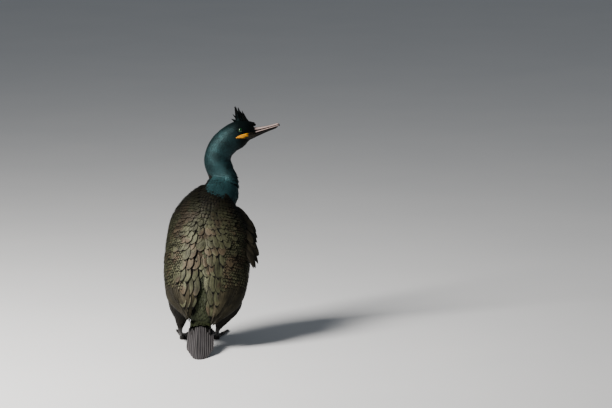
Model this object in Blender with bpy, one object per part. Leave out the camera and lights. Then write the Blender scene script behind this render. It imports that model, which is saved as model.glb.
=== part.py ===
"""A shag standing upright on its webbed feet and tail, its back to the viewer and its head turned to its right.

A still, life-size model of the bird. Sizes are in millimetres and become metres when a mesh is made.
+X is the bird's right side, +Y the way its breast faces, +Z is up.
"""

import math

import bmesh
import bpy
import numpy as np
from mathutils import Matrix, Vector

MM = 0.001
GAP = 0.35
FLOOR_DEPTH = 30.0
UP = np.array([0.0, 0.0, 1.0])

TORSO_RINGS, TORSO_SIDES = 16, 24
NECK_SIDES = 22
HEAD_RINGS, HEAD_SIDES = 11, 22
WING_ROWS, WING_COLUMNS = 11, 8
TAIL_SIDES = 16

# The spine from the tail root to the base of the bill. A row holds the centre's x, y and z, half the width,
# the radius to the back, the radius to the belly and the way the back faces
SPINE = np.array([
    [-8.0, -84.0, 56.0, 24.0, 10.0, 13.0, -0.10, -1.0, 0.60],
    [-3.5, -76.0, 74.0, 50.0, 21.0, 28.0, -0.12, -1.0, 0.50],
    [0.5, -61.0, 100.0, 73.0, 35.0, 47.0, -0.14, -1.0, 0.45],
    [3.0, -40.0, 137.0, 84.0, 46.0, 62.0, -0.14, -1.0, 0.45],
    [4.5, -16.0, 179.0, 87.0, 53.0, 70.0, -0.14, -1.0, 0.45],
    [6.5, 8.0, 224.0, 83.0, 54.0, 72.0, -0.14, -1.0, 0.45],
    [8.5, 31.0, 266.0, 72.5, 50.0, 66.0, -0.14, -1.0, 0.50],
    [16.5, 51.0, 301.0, 56.0, 43.0, 55.0, -0.16, -1.0, 0.60],
    [32.0, 67.0, 327.0, 38.5, 34.0, 42.0, -0.25, -1.0, 0.50],
    [39.5, 79.0, 346.0, 33.0, 28.0, 33.0, -0.40, -1.0, 0.30],
    [32.0, 86.0, 369.0, 30.0, 27.0, 30.0, -0.70, -0.8, 0.10],
    [27.0, 88.0, 391.0, 27.5, 28.0, 29.0, -0.90, -0.5, 0.20],
    [33.5, 87.0, 414.5, 25.0, 28.0, 30.0, -0.95, -0.25, 0.40],
    [50.0, 85.0, 435.0, 23.0, 28.0, 31.5, -0.75, -0.1, 0.75],
    [68.0, 85.0, 447.5, 21.5, 28.5, 32.0, -0.40, -0.03, 0.92],
    [84.5, 87.0, 453.0, 19.5, 27.5, 27.5, -0.15, 0.0, 0.99],
    [98.0, 88.7, 453.5, 15.0, 21.0, 19.5, -0.05, 0.0, 1.0],
    [109.0, 90.2, 451.5, 9.5, 13.5, 11.0, -0.10, 0.0, 1.0],
])
TAIL_ROOT, NECK_START, NECK_MIDDLE, HEAD_START, BILL_BASE = 0.0, 8.0, 11.0, 13.6, 17.0

EYE_STATION, EYE_ANGLE = 14.55, 72.5
EYE_RADIUS = 5.2
EYE_OUT = 1.8
LID_RADIUS, LID_THICKNESS, LID_STRETCH = 5.3, 0.95, 1.1

# The bare skin at the corner of the mouth: its stations, the angle of its middle line and half its height
GAPE_PLACES = [13.95, 14.4, 15.0, 15.8, 16.85]
GAPE_ANGLES = [95.0, 99.0, 100.5, 97.0, 92.0]
GAPE_HALF_HEIGHTS = [1.2, 4.3, 4.4, 3.4, 1.8]
GAPE_RAISED, GAPE_CREASE, GAPE_DEPTH = 0.5, 0.7, 2.4
GAPE_ANGLE_RADIUS = 27.0

BILL_LENGTH = 58.0
BILL_RISE = 15.0
BILL_TURN = 10.0
# distance along the bill, half width, height over the mouth line, depth of the edge under it
UPPER_BILL = [
    (0.0, 8.6, 11.5, 0.0), (0.14, 7.2, 9.6, 0.0), (0.34, 5.8, 7.8, 0.0), (0.58, 4.8, 6.4, 0.0),
    (0.78, 4.3, 5.8, 0.0), (0.90, 3.8, 5.8, 0.0), (0.955, 2.9, 4.5, 2.6), (1.0, 1.5, 1.4, 4.6),
]
# distance along the bill, half width, depth under the mouth line
LOWER_BILL = [
    (0.0, 8.4, 10.0), (0.16, 7.0, 8.8), (0.36, 5.5, 7.0),
    (0.60, 4.4, 5.4), (0.80, 3.7, 4.4), (0.895, 2.4, 2.6),
]
MOUTH_GAP = 0.4

CREST_STATION = 15.0
CREST_ROOT = (17.0, 5.5, 4.0)
CREST_SUNK, CREST_BEND = 3.0, 0.12
CROWN_STATION_LENGTH, CROWN_RADIUS = 16.0, 22.0
# place forward along the crown, place sideways, lean back from upright in degrees, length, width
CREST_FEATHERS = [
    (-3.6, -0.8, 7.0, 40.5, 7.5), (0.2, 1.2, 8.0, 35.5, 7.5), (-2.0, 2.6, 10.0, 31.0, 7.0),
    (5.0, -0.6, 11.0, 25.0, 7.0), (3.0, -2.4, 12.0, 28.0, 7.0), (9.5, 0.8, 28.0, 18.0, 6.5),
    (16.0, -0.4, 46.0, 14.0, 5.5), (-5.0, -1.6, 36.0, 27.0, 4.5), (-9.0, 1.0, 68.0, 18.0, 4.5),
]

# The wing's patch on the torso: stations at its shoulder and its end, and for places from one to the other
# the angles of its edge on the back and of its lower edge, and its thickness
WING_TOP, WING_END = 7.35, 1.1
WING_PLACES = [0.0, 0.12, 0.30, 0.50, 0.70, 0.86, 1.0]
WING_BACK_EDGE = [36.0, 24.0, 10.0, 6.0, 6.0, 10.0, 20.0]
WING_LOW_EDGE = [72.0, 104.0, 118.0, 120.0, 112.0, 98.0, 76.0]
WING_THICKNESS = [1.6, 4.0, 7.0, 9.0, 9.5, 11.0, 12.5]
WING_RIM = 1.0
WING_SUNK = 4.0
WING_LENGTH = 246.0
# The blade of the longest feathers past the wing's end: how far it reaches and its thickness there
WING_REACH, BLADE_START, BLADE_THICKNESS = 1.13, 0.84, 2.4
BLADE_MIDDLE, BLADE_BACKWARD = 0.42, 0.10

# Each thigh down to the ankle: centre x, y, z and radius
THIGH_LEFT = [
    (-40.0, -36.0, 122.0, 40.0), (-51.0, -28.0, 86.0, 31.0),
    (-53.0, -29.0, 58.0, 16.0), (-54.5, -35.0, 39.0, 7.5),
]
THIGH_RIGHT = [
    (44.0, -36.0, 122.0, 40.0), (50.0, -28.0, 90.0, 31.5),
    (39.0, -29.0, 61.0, 20.5), (30.0, -35.0, 38.0, 8.0),
]
FOOT_JOINT_LEFT, FOOT_JOINT_RIGHT = (-53.0, 2.0, 12.5), (25.0, 2.0, 12.5)
TARSUS_RADII = [6.2, 5.4, 4.4, 4.2, 4.6]
ANKLE_BEND = 14.0
FOOT_TURN_LEFT, FOOT_TURN_RIGHT = -13.0, -8.0
# turn outwards from the foot's line in degrees, length, radius at the root, radius at the claw
TOES = [(24.0, 84.0, 4.2, 2.4), (0.0, 76.0, 4.4, 2.5), (-26.0, 54.0, 4.0, 2.4), (-98.0, 28.0, 3.4, 2.2)]
TOE_NAMES = ["outer", "middle", "inner", "hind"]
TOE_PRESS = 0.6
HEEL_AHEAD, HEEL_RADII = 9.5, (10.0, 7.5, 7.0)
WEB_THICKNESS = 1.4
WEB_REACH, WEB_NOTCH = 0.93, 0.84
CLAW_LENGTH, CLAW_TIP_HEIGHT = 10.0, 0.5

# The tail's twelve feathers, by pairs from the middle out: their lengths
TAIL_LENGTHS = [132.0, 129.0, 123.0, 114.0, 103.0, 92.0]
TAIL_DROP = 27.7
TAIL_ROOT_SPACING, TAIL_ROOT_DEPTH = 3.0, 12.0
TAIL_SPREAD = 0.5
TAIL_VANE_WIDTH, TAIL_VANE_THICKNESS = 15.5, 0.75
TAIL_TOP_LAYER, TAIL_LAYER_STEP = 5.4, 0.9
# The feathered root of the tail: distance along it, half width, radius above, radius below
TAIL_CORE = [(9.0, 24.5, 9.5, 9.0), (24.0, 24.0, 8.6, 8.6), (40.0, 19.0, 5.0, 7.0), (52.0, 9.0, 2.0, 4.0)]
# Rows of coverts over them: distance along the tail, height, how many, reach to each side, length, width
TAIL_COVERTS = [(22.0, 8.4, 5, 16.0, 36.0, 14.0)]
TAIL_COVERT_ARCH, TAIL_COVERT_LIFT = 8.0, 0.6

# Tiers of feathers on each wing: place of the roots along the wing, the stretch across it that they share,
# how many, length and how far the tip rises
SCAPULARS = [
    (0.08, 0.05, 0.52, 2, 50.0, 2.3), (0.21, 0.04, 0.51, 3, 54.0, 2.4),
    (0.34, 0.04, 0.50, 3, 58.0, 2.4), (0.48, 0.04, 0.50, 3, 62.0, 2.5),
]
WING_COVERTS = [
    (0.08, 0.54, 0.98, 3, 44.0, 2.3), (0.21, 0.53, 0.99, 4, 48.0, 2.4),
    (0.34, 0.52, 0.99, 4, 50.0, 2.4), (0.48, 0.52, 0.99, 4, 54.0, 2.5),
]
TERTIALS = (0.63, 0.04, 0.50, 2, 76.0, 2.6)
SECONDARIES = (0.63, 0.52, 0.98, 5, 80.0, 2.6)
PRIMARIES = (0.82, 0.18, 0.92, 5, 72.0, 2.6)
LONG_FEATHER = 65.0
VANE_GAP = 0.96
VANE_THICKNESS = 0.9
VANE_SUNK, VANE_CLEAR = 2.6, 0.9
VANE_CAMBER, VANE_TAPER = 0.3, 0.4

# Outlines of a vane: share of its length, share of its width there
LEAF = ((0.0, 0.35), (0.14, 0.6), (0.5, 1.0), (0.84, 0.7), (1.0, 0.0))
LONG_LEAF = ((0.0, 0.35), (0.09, 0.5), (0.5, 0.9), (0.9, 0.8), (1.0, 0.0))
PLUME = ((0.0, 0.6), (0.35, 1.0), (0.75, 0.5), (1.0, 0.0))

# Feathers that the wind lifts from the right wing: place along the wing, place across it,
# turn outwards and lift in degrees, length, width
LIFTED_FEATHERS = [
    (0.09, 0.60, 30.0, 30.0, 58.0, 21.0), (0.13, 0.74, 26.0, 26.0, 54.0, 19.0),
    (0.26, 0.64, 24.0, 27.0, 54.0, 21.0), (0.31, 0.77, 20.0, 24.0, 48.0, 19.0),
    (0.43, 0.70, 20.0, 24.0, 44.0, 19.0),
]

COLOURS = {
    "plumage": (0.045, 0.045, 0.035, 0.42, 0.1),
    "neck_plumage": (0.02, 0.06, 0.06, 0.38, 0.1),
    "flight_feather": (0.06, 0.055, 0.05, 0.5, 0.0),
    "bill": (0.09, 0.07, 0.065, 0.35, 0.0),
    "gape_skin": (0.75, 0.45, 0.02, 0.45, 0.0),
    "eye": (0.02, 0.22, 0.08, 0.05, 0.0),
    "leg_skin": (0.03, 0.028, 0.026, 0.5, 0.0),
    "claw": (0.02, 0.018, 0.018, 0.3, 0.0),
}


def steps(first, last, count):
    return [first + (last - first) * i / (count - 1) for i in range(count)]


def unit(vector):
    return vector / np.linalg.norm(vector)


def through(places, values, place):
    """The smooth curve through these values, read at one place and held level past both ends."""
    if place <= places[0]:
        return values[0]
    if place >= places[-1]:
        return values[-1]
    i = max(k for k, p in enumerate(places[:-1]) if p <= place)
    slopes = []
    for k in (i, i + 1):
        before, after = max(k - 1, 0), min(k + 1, len(places) - 1)
        slopes.append((values[after] - values[before]) / (places[after] - places[before]))
    width = places[i + 1] - places[i]
    t = (place - places[i]) / width
    return ((2 * t**3 - 3 * t**2 + 1) * values[i] + (3 * t**2 - 2 * t**3) * values[i + 1]
            + (t**3 - 2 * t**2 + t) * width * slopes[0] + (t**3 - t**2) * width * slopes[1])


def bill_axes():
    """The way the bill points, its right side and its upper side."""
    rise, turn = math.radians(BILL_RISE), math.radians(BILL_TURN)
    forward = np.array([math.cos(rise) * math.cos(turn), math.cos(rise) * math.sin(turn), math.sin(rise)])
    right = unit(np.cross(forward, UP))
    return forward, right, np.cross(right, forward)


def station(place):
    """The spine's row of sizes at a place between two stations, by a Catmull-Rom curve."""
    last = len(SPINE) - 1
    i = min(max(int(math.floor(place)), 0), last - 1)
    t = place - i
    a, b, c, d = (SPINE[min(max(k, 0), last)] for k in (i - 1, i, i + 1, i + 2))
    return 0.5 * (2 * b + (c - a) * t + (2 * a - 5 * b + 4 * c - d) * t**2 + (3 * b - a - 3 * c + d) * t**3)


def spine_axes(place):
    """The spine's forward, right and back directions at a place."""
    step = 0.02
    low, high = max(place - step, 0.0), min(place + step, BILL_BASE)
    forward = unit(station(high)[:3] - station(low)[:3])
    share = max(place - (BILL_BASE - 1.0), 0.0)
    forward = unit(forward * (1 - share) + bill_axes()[0] * share)
    right = unit(np.cross(forward, station(place)[6:9]))
    return forward, right, np.cross(right, forward)


def section_point(place, angle, lift=0.0):
    """A point of the body's section: angle 0 is the middle of the back, 90 the right side, 180 the belly."""
    row = station(place)
    _, right, back = spine_axes(place)
    across, up = math.sin(math.radians(angle)), math.cos(math.radians(angle))
    depth = row[4] if up > 0 else row[5]
    return row[:3] + right * across * (row[3] + lift) + back * up * (depth + lift)


def skin(place, angle, lift=0.0):
    """A point on the skin, raised along its outward direction, and that direction."""
    along = section_point(place + 0.05, angle) - section_point(place - 0.05, angle)
    around = section_point(place, angle + 2.0) - section_point(place, angle - 2.0)
    out = unit(np.cross(around, along))
    return section_point(place, angle) + out * lift, out


def new_model():
    """An empty scene, and in it the collection that holds the bird."""
    for obj in list(bpy.data.objects):
        bpy.data.objects.remove(obj)
    model = bpy.data.collections.new("shag")
    bpy.context.scene.collection.children.link(model)
    return model


MODEL = new_model()


def linked(name, work, colour):
    """An object in the model from a bmesh, with its faces turned outwards."""
    bmesh.ops.recalc_face_normals(work, faces=work.faces)
    mesh = bpy.data.meshes.new(name)
    work.to_mesh(mesh)
    work.free()
    mesh.materials.append(material(colour))
    obj = bpy.data.objects.new(name, mesh)
    MODEL.objects.link(obj)
    return obj


def mesh_object(name, points, faces, colour):
    """An object from points in millimetres."""
    work = bmesh.new()
    verts = [work.verts.new(Vector(point) * MM) for point in points]
    for face in faces:
        work.faces.new([verts[k] for k in face])
    bmesh.ops.triangulate(work, faces=[face for face in work.faces if len(face.verts) > 3])
    return linked(name, work, colour)


def material(colour):
    """The Principled material of one of the bird's colours."""
    found = bpy.data.materials.get(colour)
    if found:
        return found
    made = bpy.data.materials.new(colour)
    made.use_nodes = True
    shader = made.node_tree.nodes["Principled BSDF"]
    red, green, blue, roughness, metallic = COLOURS[colour]
    shader.inputs["Base Color"].default_value = (red, green, blue, 1.0)
    shader.inputs["Roughness"].default_value = roughness
    shader.inputs["Metallic"].default_value = metallic
    return made


def loft(name, rings, colour):
    """A closed body through rings of equally many points; a ring of one point closes an end."""
    points, starts = [], []
    for ring in rings:
        starts.append(len(points))
        points.extend(ring)
    faces = []
    for start, after, ring, following in zip(starts, starts[1:], rings, rings[1:]):
        count = max(len(ring), len(following))
        for k in range(count):
            m = (k + 1) % count
            if len(ring) == 1:
                faces.append((start, after + k, after + m))
            elif len(following) == 1:
                faces.append((start + k, start + m, after))
            else:
                faces.append((start + k, start + m, after + m))
                faces.append((start + k, after + m, after + k))
    for start, ring in ((starts[0], rings[0]), (starts[-1], rings[-1])):
        if len(ring) > 1:
            faces.append(tuple(range(start, start + len(ring))))
    return mesh_object(name, points, faces, colour)


def body_loft(name, first, last, rings, sides, colour, lift=0.0, stretch=0.0):
    """A length of the body between two places on the spine, with flat ends."""
    angles = [360.0 * k / sides for k in range(sides)]
    places = steps(first, last, rings)
    made = [[section_point(place, angle, lift) for angle in angles] for place in places]
    for ring, place, way in ((made[0], first, -1.0), (made[-1], last, 1.0)):
        shift = spine_axes(place)[0] * way * stretch
        ring[:] = [point + shift for point in ring]
    return loft(name, made, colour)


def tube(name, centres, radii, sides, colour, first_way=None, last_way=None):
    """A round body along a line of centres, pointed where the radius is 0.

    Its flat ends are square to the line or to the ways that are given.
    """
    centres = [np.array(centre, float) for centre in centres]
    across, rings = None, []
    for i, (centre, radius) in enumerate(zip(centres, radii)):
        along = unit(centres[min(i + 1, len(centres) - 1)] - centres[max(i - 1, 0)])
        if i == 0 and first_way is not None:
            along = first_way
        if i == len(centres) - 1 and last_way is not None:
            along = last_way
        across = square_to(along) if across is None else unit(across - along * across.dot(along))
        up = np.cross(across, along)
        turns = [2 * math.pi * k / sides for k in range(sides if radius else 1)]
        rings.append([centre + radius * (across * math.cos(turn) + up * math.sin(turn)) for turn in turns])
    return loft(name, rings, colour)


def square_to(way):
    """A level direction square to this one."""
    return unit(np.cross(way, UP if abs(way[2]) < 0.95 else (0.0, 1.0, 0.0)))


def ball(name, centre, radii, axes, colour, segments=16, rings=10):
    """An ellipsoid, from a primitive, with its three radii along the given axes."""
    work = bmesh.new()
    bmesh.ops.create_uvsphere(work, u_segments=segments, v_segments=rings, radius=1.0)
    bmesh.ops.transform(work, matrix=placing(centre, radii, axes), verts=work.verts)
    return linked(name, work, colour)


def placing(centre, sizes, axes):
    """The matrix that scales to three sizes in millimetres, turns to three axes and moves to a centre."""
    rows = [[*(axes[k][row] * sizes[k] for k in range(3)), centre[row]] for row in range(3)]
    return Matrix.Scale(MM, 4) @ Matrix(rows + [[0.0, 0.0, 0.0, 1.0]])


def vane(name, place, shape, thickness, colour):
    """A closed feather vane with the same triangles on both faces.

    place(u, v) gives a point and the outward direction for a share u of the vane's length and for v from one
    edge, -1, to the other, 1. shape holds for each row the share u and the share of the width there, and a
    width of 0 is the tip.
    """
    faces_up, upper, lower = [], [], []
    rows = []
    for u, width in shape:
        row = []
        for v in ((-1.0, 0.0, 1.0) if width else (0.0,)):
            point, out = place(u, v * width)
            half = 0.5 * thickness * (1.0 - VANE_TAPER * u)
            row.append(len(upper))
            upper.append(point + out * half)
            lower.append(point - out * half)
        rows.append(row)
    for row, following in zip(rows, rows[1:]):
        if len(following) == 1:
            faces_up += [(row[0], row[1], following[0]), (row[1], row[2], following[0])]
            continue
        for k in (0, 1):
            a, b, c, d = row[k], row[k + 1], following[k + 1], following[k]
            faces_up += [(a, b, c), (a, c, d)] if k else [(a, b, d), (b, c, d)]
    count = len(upper)
    rim = [row[0] for row in rows] + [row[-1] for row in reversed(rows[:-1])] + [rows[0][1]]
    faces = faces_up + [tuple(count + k for k in reversed(face)) for face in faces_up]
    for a, b in zip(rim, rim[1:] + rim[:1]):
        faces += [(a, b, count + b), (a, count + b, count + a)]
    return mesh_object(name, upper + lower, faces, colour)


def applied(obj):
    """Puts the object's evaluated mesh, with its modifiers done, in place of its own."""
    graph = bpy.context.evaluated_depsgraph_get()
    mesh = bpy.data.meshes.new_from_object(obj.evaluated_get(graph))
    obj.modifiers.clear()
    obj.data = mesh
    return obj


def boolean(obj, others, operation, solver="MANIFOLD"):
    """Joins others to obj, or cuts them from it, in one Boolean, and removes them."""
    group = bpy.data.collections.new("operands")
    bpy.context.scene.collection.children.link(group)
    for other in others:
        MODEL.objects.unlink(other)
        group.objects.link(other)
    modifier = obj.modifiers.new(operation.lower(), "BOOLEAN")
    modifier.operation = operation
    modifier.operand_type = "COLLECTION"
    modifier.collection = group
    modifier.solver = solver
    applied(obj)
    for other in others:
        bpy.data.objects.remove(other)
    bpy.data.collections.remove(group)
    return obj


def keep_largest(obj):
    """Drops all but the largest closed surface of the object's mesh."""
    work = bmesh.new()
    work.from_mesh(obj.data)
    left, pieces = set(work.verts), []
    while left:
        start = left.pop()
        piece, edge = {start}, [start]
        while edge:
            for link in edge.pop().link_edges:
                for vert in link.verts:
                    if vert not in piece:
                        piece.add(vert)
                        edge.append(vert)
        left -= piece
        pieces.append(piece)
    pieces.sort(key=lambda piece: -extent(piece))
    loose = [vert for piece in pieces[1:] for vert in piece]
    bmesh.ops.delete(work, geom=loose, context="VERTS")
    work.to_mesh(obj.data)
    work.free()
    return obj


def extent(verts):
    """The diagonal of the box round these vertices."""
    places = np.array([vert.co for vert in verts])
    return float(np.linalg.norm(places.max(axis=0) - places.min(axis=0)))


def join(obj, others):
    return keep_largest(boolean(obj, others, "UNION")) if others else obj


def cut(obj, others):
    return keep_largest(boolean(obj, others, "DIFFERENCE"))


def floor_block():
    """A block under the floor's level, to cut the soles flat."""
    corners = [np.array([x, y, z]) for z in (-FLOOR_DEPTH, 0.0) for x, y in
               ((-300.0, -300.0), (300.0, -300.0), (300.0, 300.0), (-300.0, 300.0))]
    return loft("floor_block", [corners[:4], corners[4:]], "plumage")


def room(first, last, rings, sides):
    """A length of the body grown by the gap, to cut what lies on it clear."""
    return body_loft("room", first, last, rings, sides, "plumage", lift=GAP + 0.1, stretch=GAP)


def torso_room():
    return room(TAIL_ROOT, NECK_START, TORSO_RINGS, TORSO_SIDES)


def head_room():
    return room(HEAD_START, BILL_BASE, HEAD_RINGS, HEAD_SIDES)


def make_torso():
    body_loft("torso", TAIL_ROOT, NECK_START, TORSO_RINGS, TORSO_SIDES, "plumage")


def make_neck():
    lengths = [("neck_lower", NECK_START, NECK_MIDDLE, 8), ("neck_upper", NECK_MIDDLE, HEAD_START, 7)]
    for name, first, last, rings in lengths:
        way_first, way_last = spine_axes(first)[0], spine_axes(last)[0]
        angles = [360.0 * k / NECK_SIDES for k in range(NECK_SIDES)]
        made = [[section_point(place, angle) for angle in angles] for place in steps(first, last, rings)]
        made[0] = [point + way_first * GAP for point in made[0]]
        if name == "neck_upper":
            made[-1] = [point - way_last * GAP for point in made[-1]]
        loft(name, made, "neck_plumage")


def eye_frame(side):
    """The eyeball's centre, the way the eye looks, and the ways forward and up across it."""
    point, out = skin(EYE_STATION, side * EYE_ANGLE)
    forward = spine_axes(EYE_STATION)[0]
    forward = unit(forward - out * forward.dot(out))
    return point - out * (EYE_RADIUS - EYE_OUT), out, forward, np.cross(out, forward)


def eyeball(name, side, grow=0.0):
    centre, out, forward, up = eye_frame(side)
    return ball(name, centre, [EYE_RADIUS + grow] * 3, (forward, up, out), "eye", 14, 9)


def lid(side):
    """The rim of skin round the eye."""
    centre, out, forward, up = eye_frame(side)
    bpy.ops.mesh.primitive_torus_add(major_radius=1.0, minor_radius=LID_THICKNESS / LID_RADIUS,
                                     major_segments=16, minor_segments=5)
    ring = bpy.context.object
    work = bmesh.new()
    work.from_mesh(ring.data)
    bpy.data.objects.remove(ring)
    sizes = (LID_RADIUS * LID_STRETCH, LID_RADIUS, LID_RADIUS)
    middle = centre + out * (EYE_RADIUS - EYE_OUT)
    bmesh.ops.transform(work, matrix=placing(middle, sizes, (forward, up, out)), verts=work.verts)
    return linked("lid", work, "neck_plumage")


def gape(name, side, grow=0.0):
    """The bare skin at the corner of the mouth, creased along the mouth's line."""
    outer, inner = [], []
    for place in steps(GAPE_PLACES[0] - grow / 16.0, GAPE_PLACES[-1] + grow / 10.0, 8):
        middle = through(GAPE_PLACES, GAPE_ANGLES, place)
        half = through(GAPE_PLACES, GAPE_HALF_HEIGHTS, place) + grow
        for share in (-1.0, -0.5, 0.0, 0.5, 1.0):
            angle = side * (middle + math.degrees(share * half / GAPE_ANGLE_RADIUS))
            crease = GAPE_CREASE if share == 0.0 and place > GAPE_PLACES[1] else 0.0
            lift = grow * 4 if grow else GAPE_RAISED * (1 - share**2) - crease
            outer.append(skin(place, angle, lift)[0])
            inner.append(skin(place, angle, -GAPE_DEPTH - grow)[0])
    return slab(name, outer, inner, 5, "gape_skin")


def slab(name, outer, inner, across, colour):
    """A closed body between two grids of points, each grid in rows of so many points across."""
    count, faces = len(outer), []
    for i in range(count // across - 1):
        for k in range(across - 1):
            a, b = i * across + k, i * across + k + 1
            c, d = b + across, a + across
            for start in (0, count):
                faces += [(start + a, start + b, start + c), (start + a, start + c, start + d)]
    last = count - across
    rim = list(range(across))
    rim += [i + across - 1 for i in range(across, count, across)]
    rim += [last + k for k in reversed(range(across - 1))]
    rim += list(reversed(range(across, last, across)))
    for a, b in zip(rim, rim[1:] + rim[:1]):
        faces += [(a, b, count + b), (a, count + b, count + a)]
    return mesh_object(name, outer + inner, faces, colour)


def make_head():
    head = body_loft("head", HEAD_START, BILL_BASE, HEAD_RINGS, HEAD_SIDES, "neck_plumage")
    join(head, [lid(side) for side in (-1, 1)])
    sockets = [eyeball("socket", side, GAP) for side in (-1, 1)]
    cut(head, sockets + [gape("gape_room", side, GAP) for side in (-1, 1)])
    for side, word in ((-1, "left"), (1, "right")):
        eyeball("eye_" + word, side)
        gape("gape_" + word, side)


def make_bill():
    forward, right, up = bill_axes()
    base = station(BILL_BASE)[:3] + forward * GAP
    turns = [math.pi * k / 8 for k in range(9)]
    upper, lower = [], []
    for share, half, high, deep in UPPER_BILL:
        centre = base + forward * BILL_LENGTH * share
        ring = [centre + right * half * math.cos(turn) + up * high * math.sin(turn) for turn in turns]
        ring += [centre + right * half * side * 0.5 - up * deep for side in (-1, 1)]
        upper.append(ring)
    for share, half, high in LOWER_BILL:
        centre = base + forward * BILL_LENGTH * share - up * MOUTH_GAP
        lower.append([centre + right * half * math.cos(turn) - up * high * math.sin(turn) for turn in turns])
    loft("bill_upper", upper, "bill")
    loft("bill_lower", lower, "bill")


def crest_feather(forward_mm, side_mm, lean, length, width):
    """One feather of the crest, its flat side to the bird's side, from the crown."""
    place = CREST_STATION + forward_mm / CROWN_STATION_LENGTH
    root = skin(place, math.degrees(side_mm / CROWN_RADIUS))[0]
    ahead = unit(spine_axes(place)[0] * (1.0, 1.0, 0.0))
    lean_back = math.radians(lean)
    way = UP * math.cos(lean_back) - ahead * math.sin(lean_back)
    back = -ahead * math.cos(lean_back) - UP * math.sin(lean_back)
    flat = np.cross(way, back)

    def spot(u, v):
        backward = CREST_BEND * length * u * u + v * width / 2
        return root + way * (length * u - CREST_SUNK) + back * backward, flat
    return vane("crest_feather", spot, PLUME, VANE_THICKNESS, "neck_plumage")


def make_crest():
    point, out = skin(CREST_STATION, 0.0)
    forward, right, _ = spine_axes(CREST_STATION)
    core = ball("crest", point, CREST_ROOT, (forward, right, out), "neck_plumage", 12, 8)
    join(core, [crest_feather(*row) for row in CREST_FEATHERS])
    cut(core, [head_room()])


def wing_surface(side, a, b):
    """A point of the wing's outer surface and its outward direction.

    a runs from the shoulder, 0, to the wing's end, 1, and straight on past it; b runs from the edge on the
    back, 0, to the lower edge, 1.
    """
    if a > 1.0:
        end, out = wing_surface(side, 1.0, b)
        before, _ = wing_surface(side, 0.95, b)
        way = unit(unit(end - before) + np.array([0.0, -BLADE_BACKWARD, 0.0]))
        return end + way * (a - 1.0) * WING_LENGTH, unit(out - way * out.dot(way))
    place = WING_TOP + (WING_END - WING_TOP) * a
    back_edge, low_edge = through(WING_PLACES, WING_BACK_EDGE, a), through(WING_PLACES, WING_LOW_EDGE, a)
    full = through(WING_PLACES, WING_THICKNESS, a)
    rise = WING_RIM + (full - WING_RIM) * max(1.0 - abs(2.0 * b - 1.0)**4, 0.0)
    return skin(place, side * (back_edge + (low_edge - back_edge) * b), rise)


def wing_body(name, side):
    """The wing's own mass, with the blade of its longest feathers."""
    outer, inner = [], []
    for a in [*steps(0.0, 1.0, WING_ROWS), *steps(1.0, WING_REACH, 3)[1:]]:
        blade = min(max((a - BLADE_START) / (WING_REACH - BLADE_START), 0.0), 1.0)
        narrowed = 0.5 * max(a - 1.0, 0.0) / (WING_REACH - 1.0)
        for b in steps(0.0, 1.0, WING_COLUMNS):
            share = b + (BLADE_MIDDLE - b) * narrowed
            point, out = wing_surface(side, a, share)
            rise = np.linalg.norm(point - wing_floor(side, a, share)) if a <= 1.0 else 0.0
            depth = (rise + WING_SUNK) * (1.0 - blade) + BLADE_THICKNESS * blade
            outer.append(point)
            inner.append(point - out * depth)
    return slab(name, outer, inner, WING_COLUMNS, "flight_feather")


def wing_floor(side, a, b):
    """The point of the body's own skin under this place on the wing."""
    place = WING_TOP + (WING_END - WING_TOP) * a
    back_edge, low_edge = through(WING_PLACES, WING_BACK_EDGE, a), through(WING_PLACES, WING_LOW_EDGE, a)
    return skin(place, side * (back_edge + (low_edge - back_edge) * b))[0]


def wing_feather(side, a, b, half, length, lift, shape):
    """One vane that lies along the wing, half as wide as this share of it, its root sunk in, its tip raised."""
    def spot(u, v):
        point, out = wing_surface(side, a + length * u / WING_LENGTH, b + v * half)
        rise = VANE_CLEAR + lift * u + VANE_CAMBER * (1 - v * v) if u else -VANE_SUNK
        return point + out * rise, out
    return vane("wing_feather", spot, shape, VANE_THICKNESS, "flight_feather")


def wing_feathers(side):
    """Every vane that lies along one wing, with small differences between neighbours."""
    made = []
    for root, first, last, count, length, lift in [*SCAPULARS, *WING_COVERTS, TERTIALS, SECONDARIES, PRIMARIES]:
        shape = LONG_LEAF if length > LONG_FEATHER else LEAF
        half = (last - first) / count / 2
        for k in range(count):
            vary = math.sin(3.7 * k + 11.0 * root + side)
            a, b = root + 0.008 * vary, first + half * (2 * k + 1)
            made.append(wing_feather(side, a, b, half * VANE_GAP, length * (1 + 0.05 * vary), lift, shape))
    return made


def lifted_feather(side, a, b, turn, rise, length, width):
    """A vane that stands off the wing, as the wind lifts it."""
    root, out = wing_surface(side, a, b)
    along = wing_surface(side, a + 0.02, b)[0] - root
    along = unit(along - out * along.dot(out))
    sideways = unit(wing_surface(side, a, b + 0.02)[0] - root)
    turned, raised = math.radians(turn), math.radians(rise)
    way = along * math.cos(turned) + sideways * math.sin(turned)
    broad = unit(np.cross(out, way))

    def spot(u, v):
        curve = math.sin(raised) * length * (u - 0.35 * u * u)
        point = root + way * math.cos(raised) * length * u + out * (curve - 1.4 * VANE_SUNK)
        return point + broad * v * width / 2, unit(out - way * math.sin(raised) * 0.6)
    return vane("lifted_feather", spot, LEAF, VANE_THICKNESS, "flight_feather")


def wing_cover(side):
    """All that lies outwards of the wing's inner side, to keep the thigh clear of it."""
    outer, inner = [], []
    for a in steps(-0.03, 1.06, 12):
        place = WING_TOP + (WING_END - WING_TOP) * a
        back_edge, low_edge = through(WING_PLACES, WING_BACK_EDGE, a), through(WING_PLACES, WING_LOW_EDGE, a)
        for b in steps(-0.05, 1.10, 7):
            angle = side * (back_edge + (low_edge - back_edge) * b)
            outer.append(skin(place, angle, 60.0)[0])
            inner.append(skin(place, angle, -WING_SUNK)[0])
    return slab("wing_cover", outer, inner, 7, "plumage")


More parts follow.
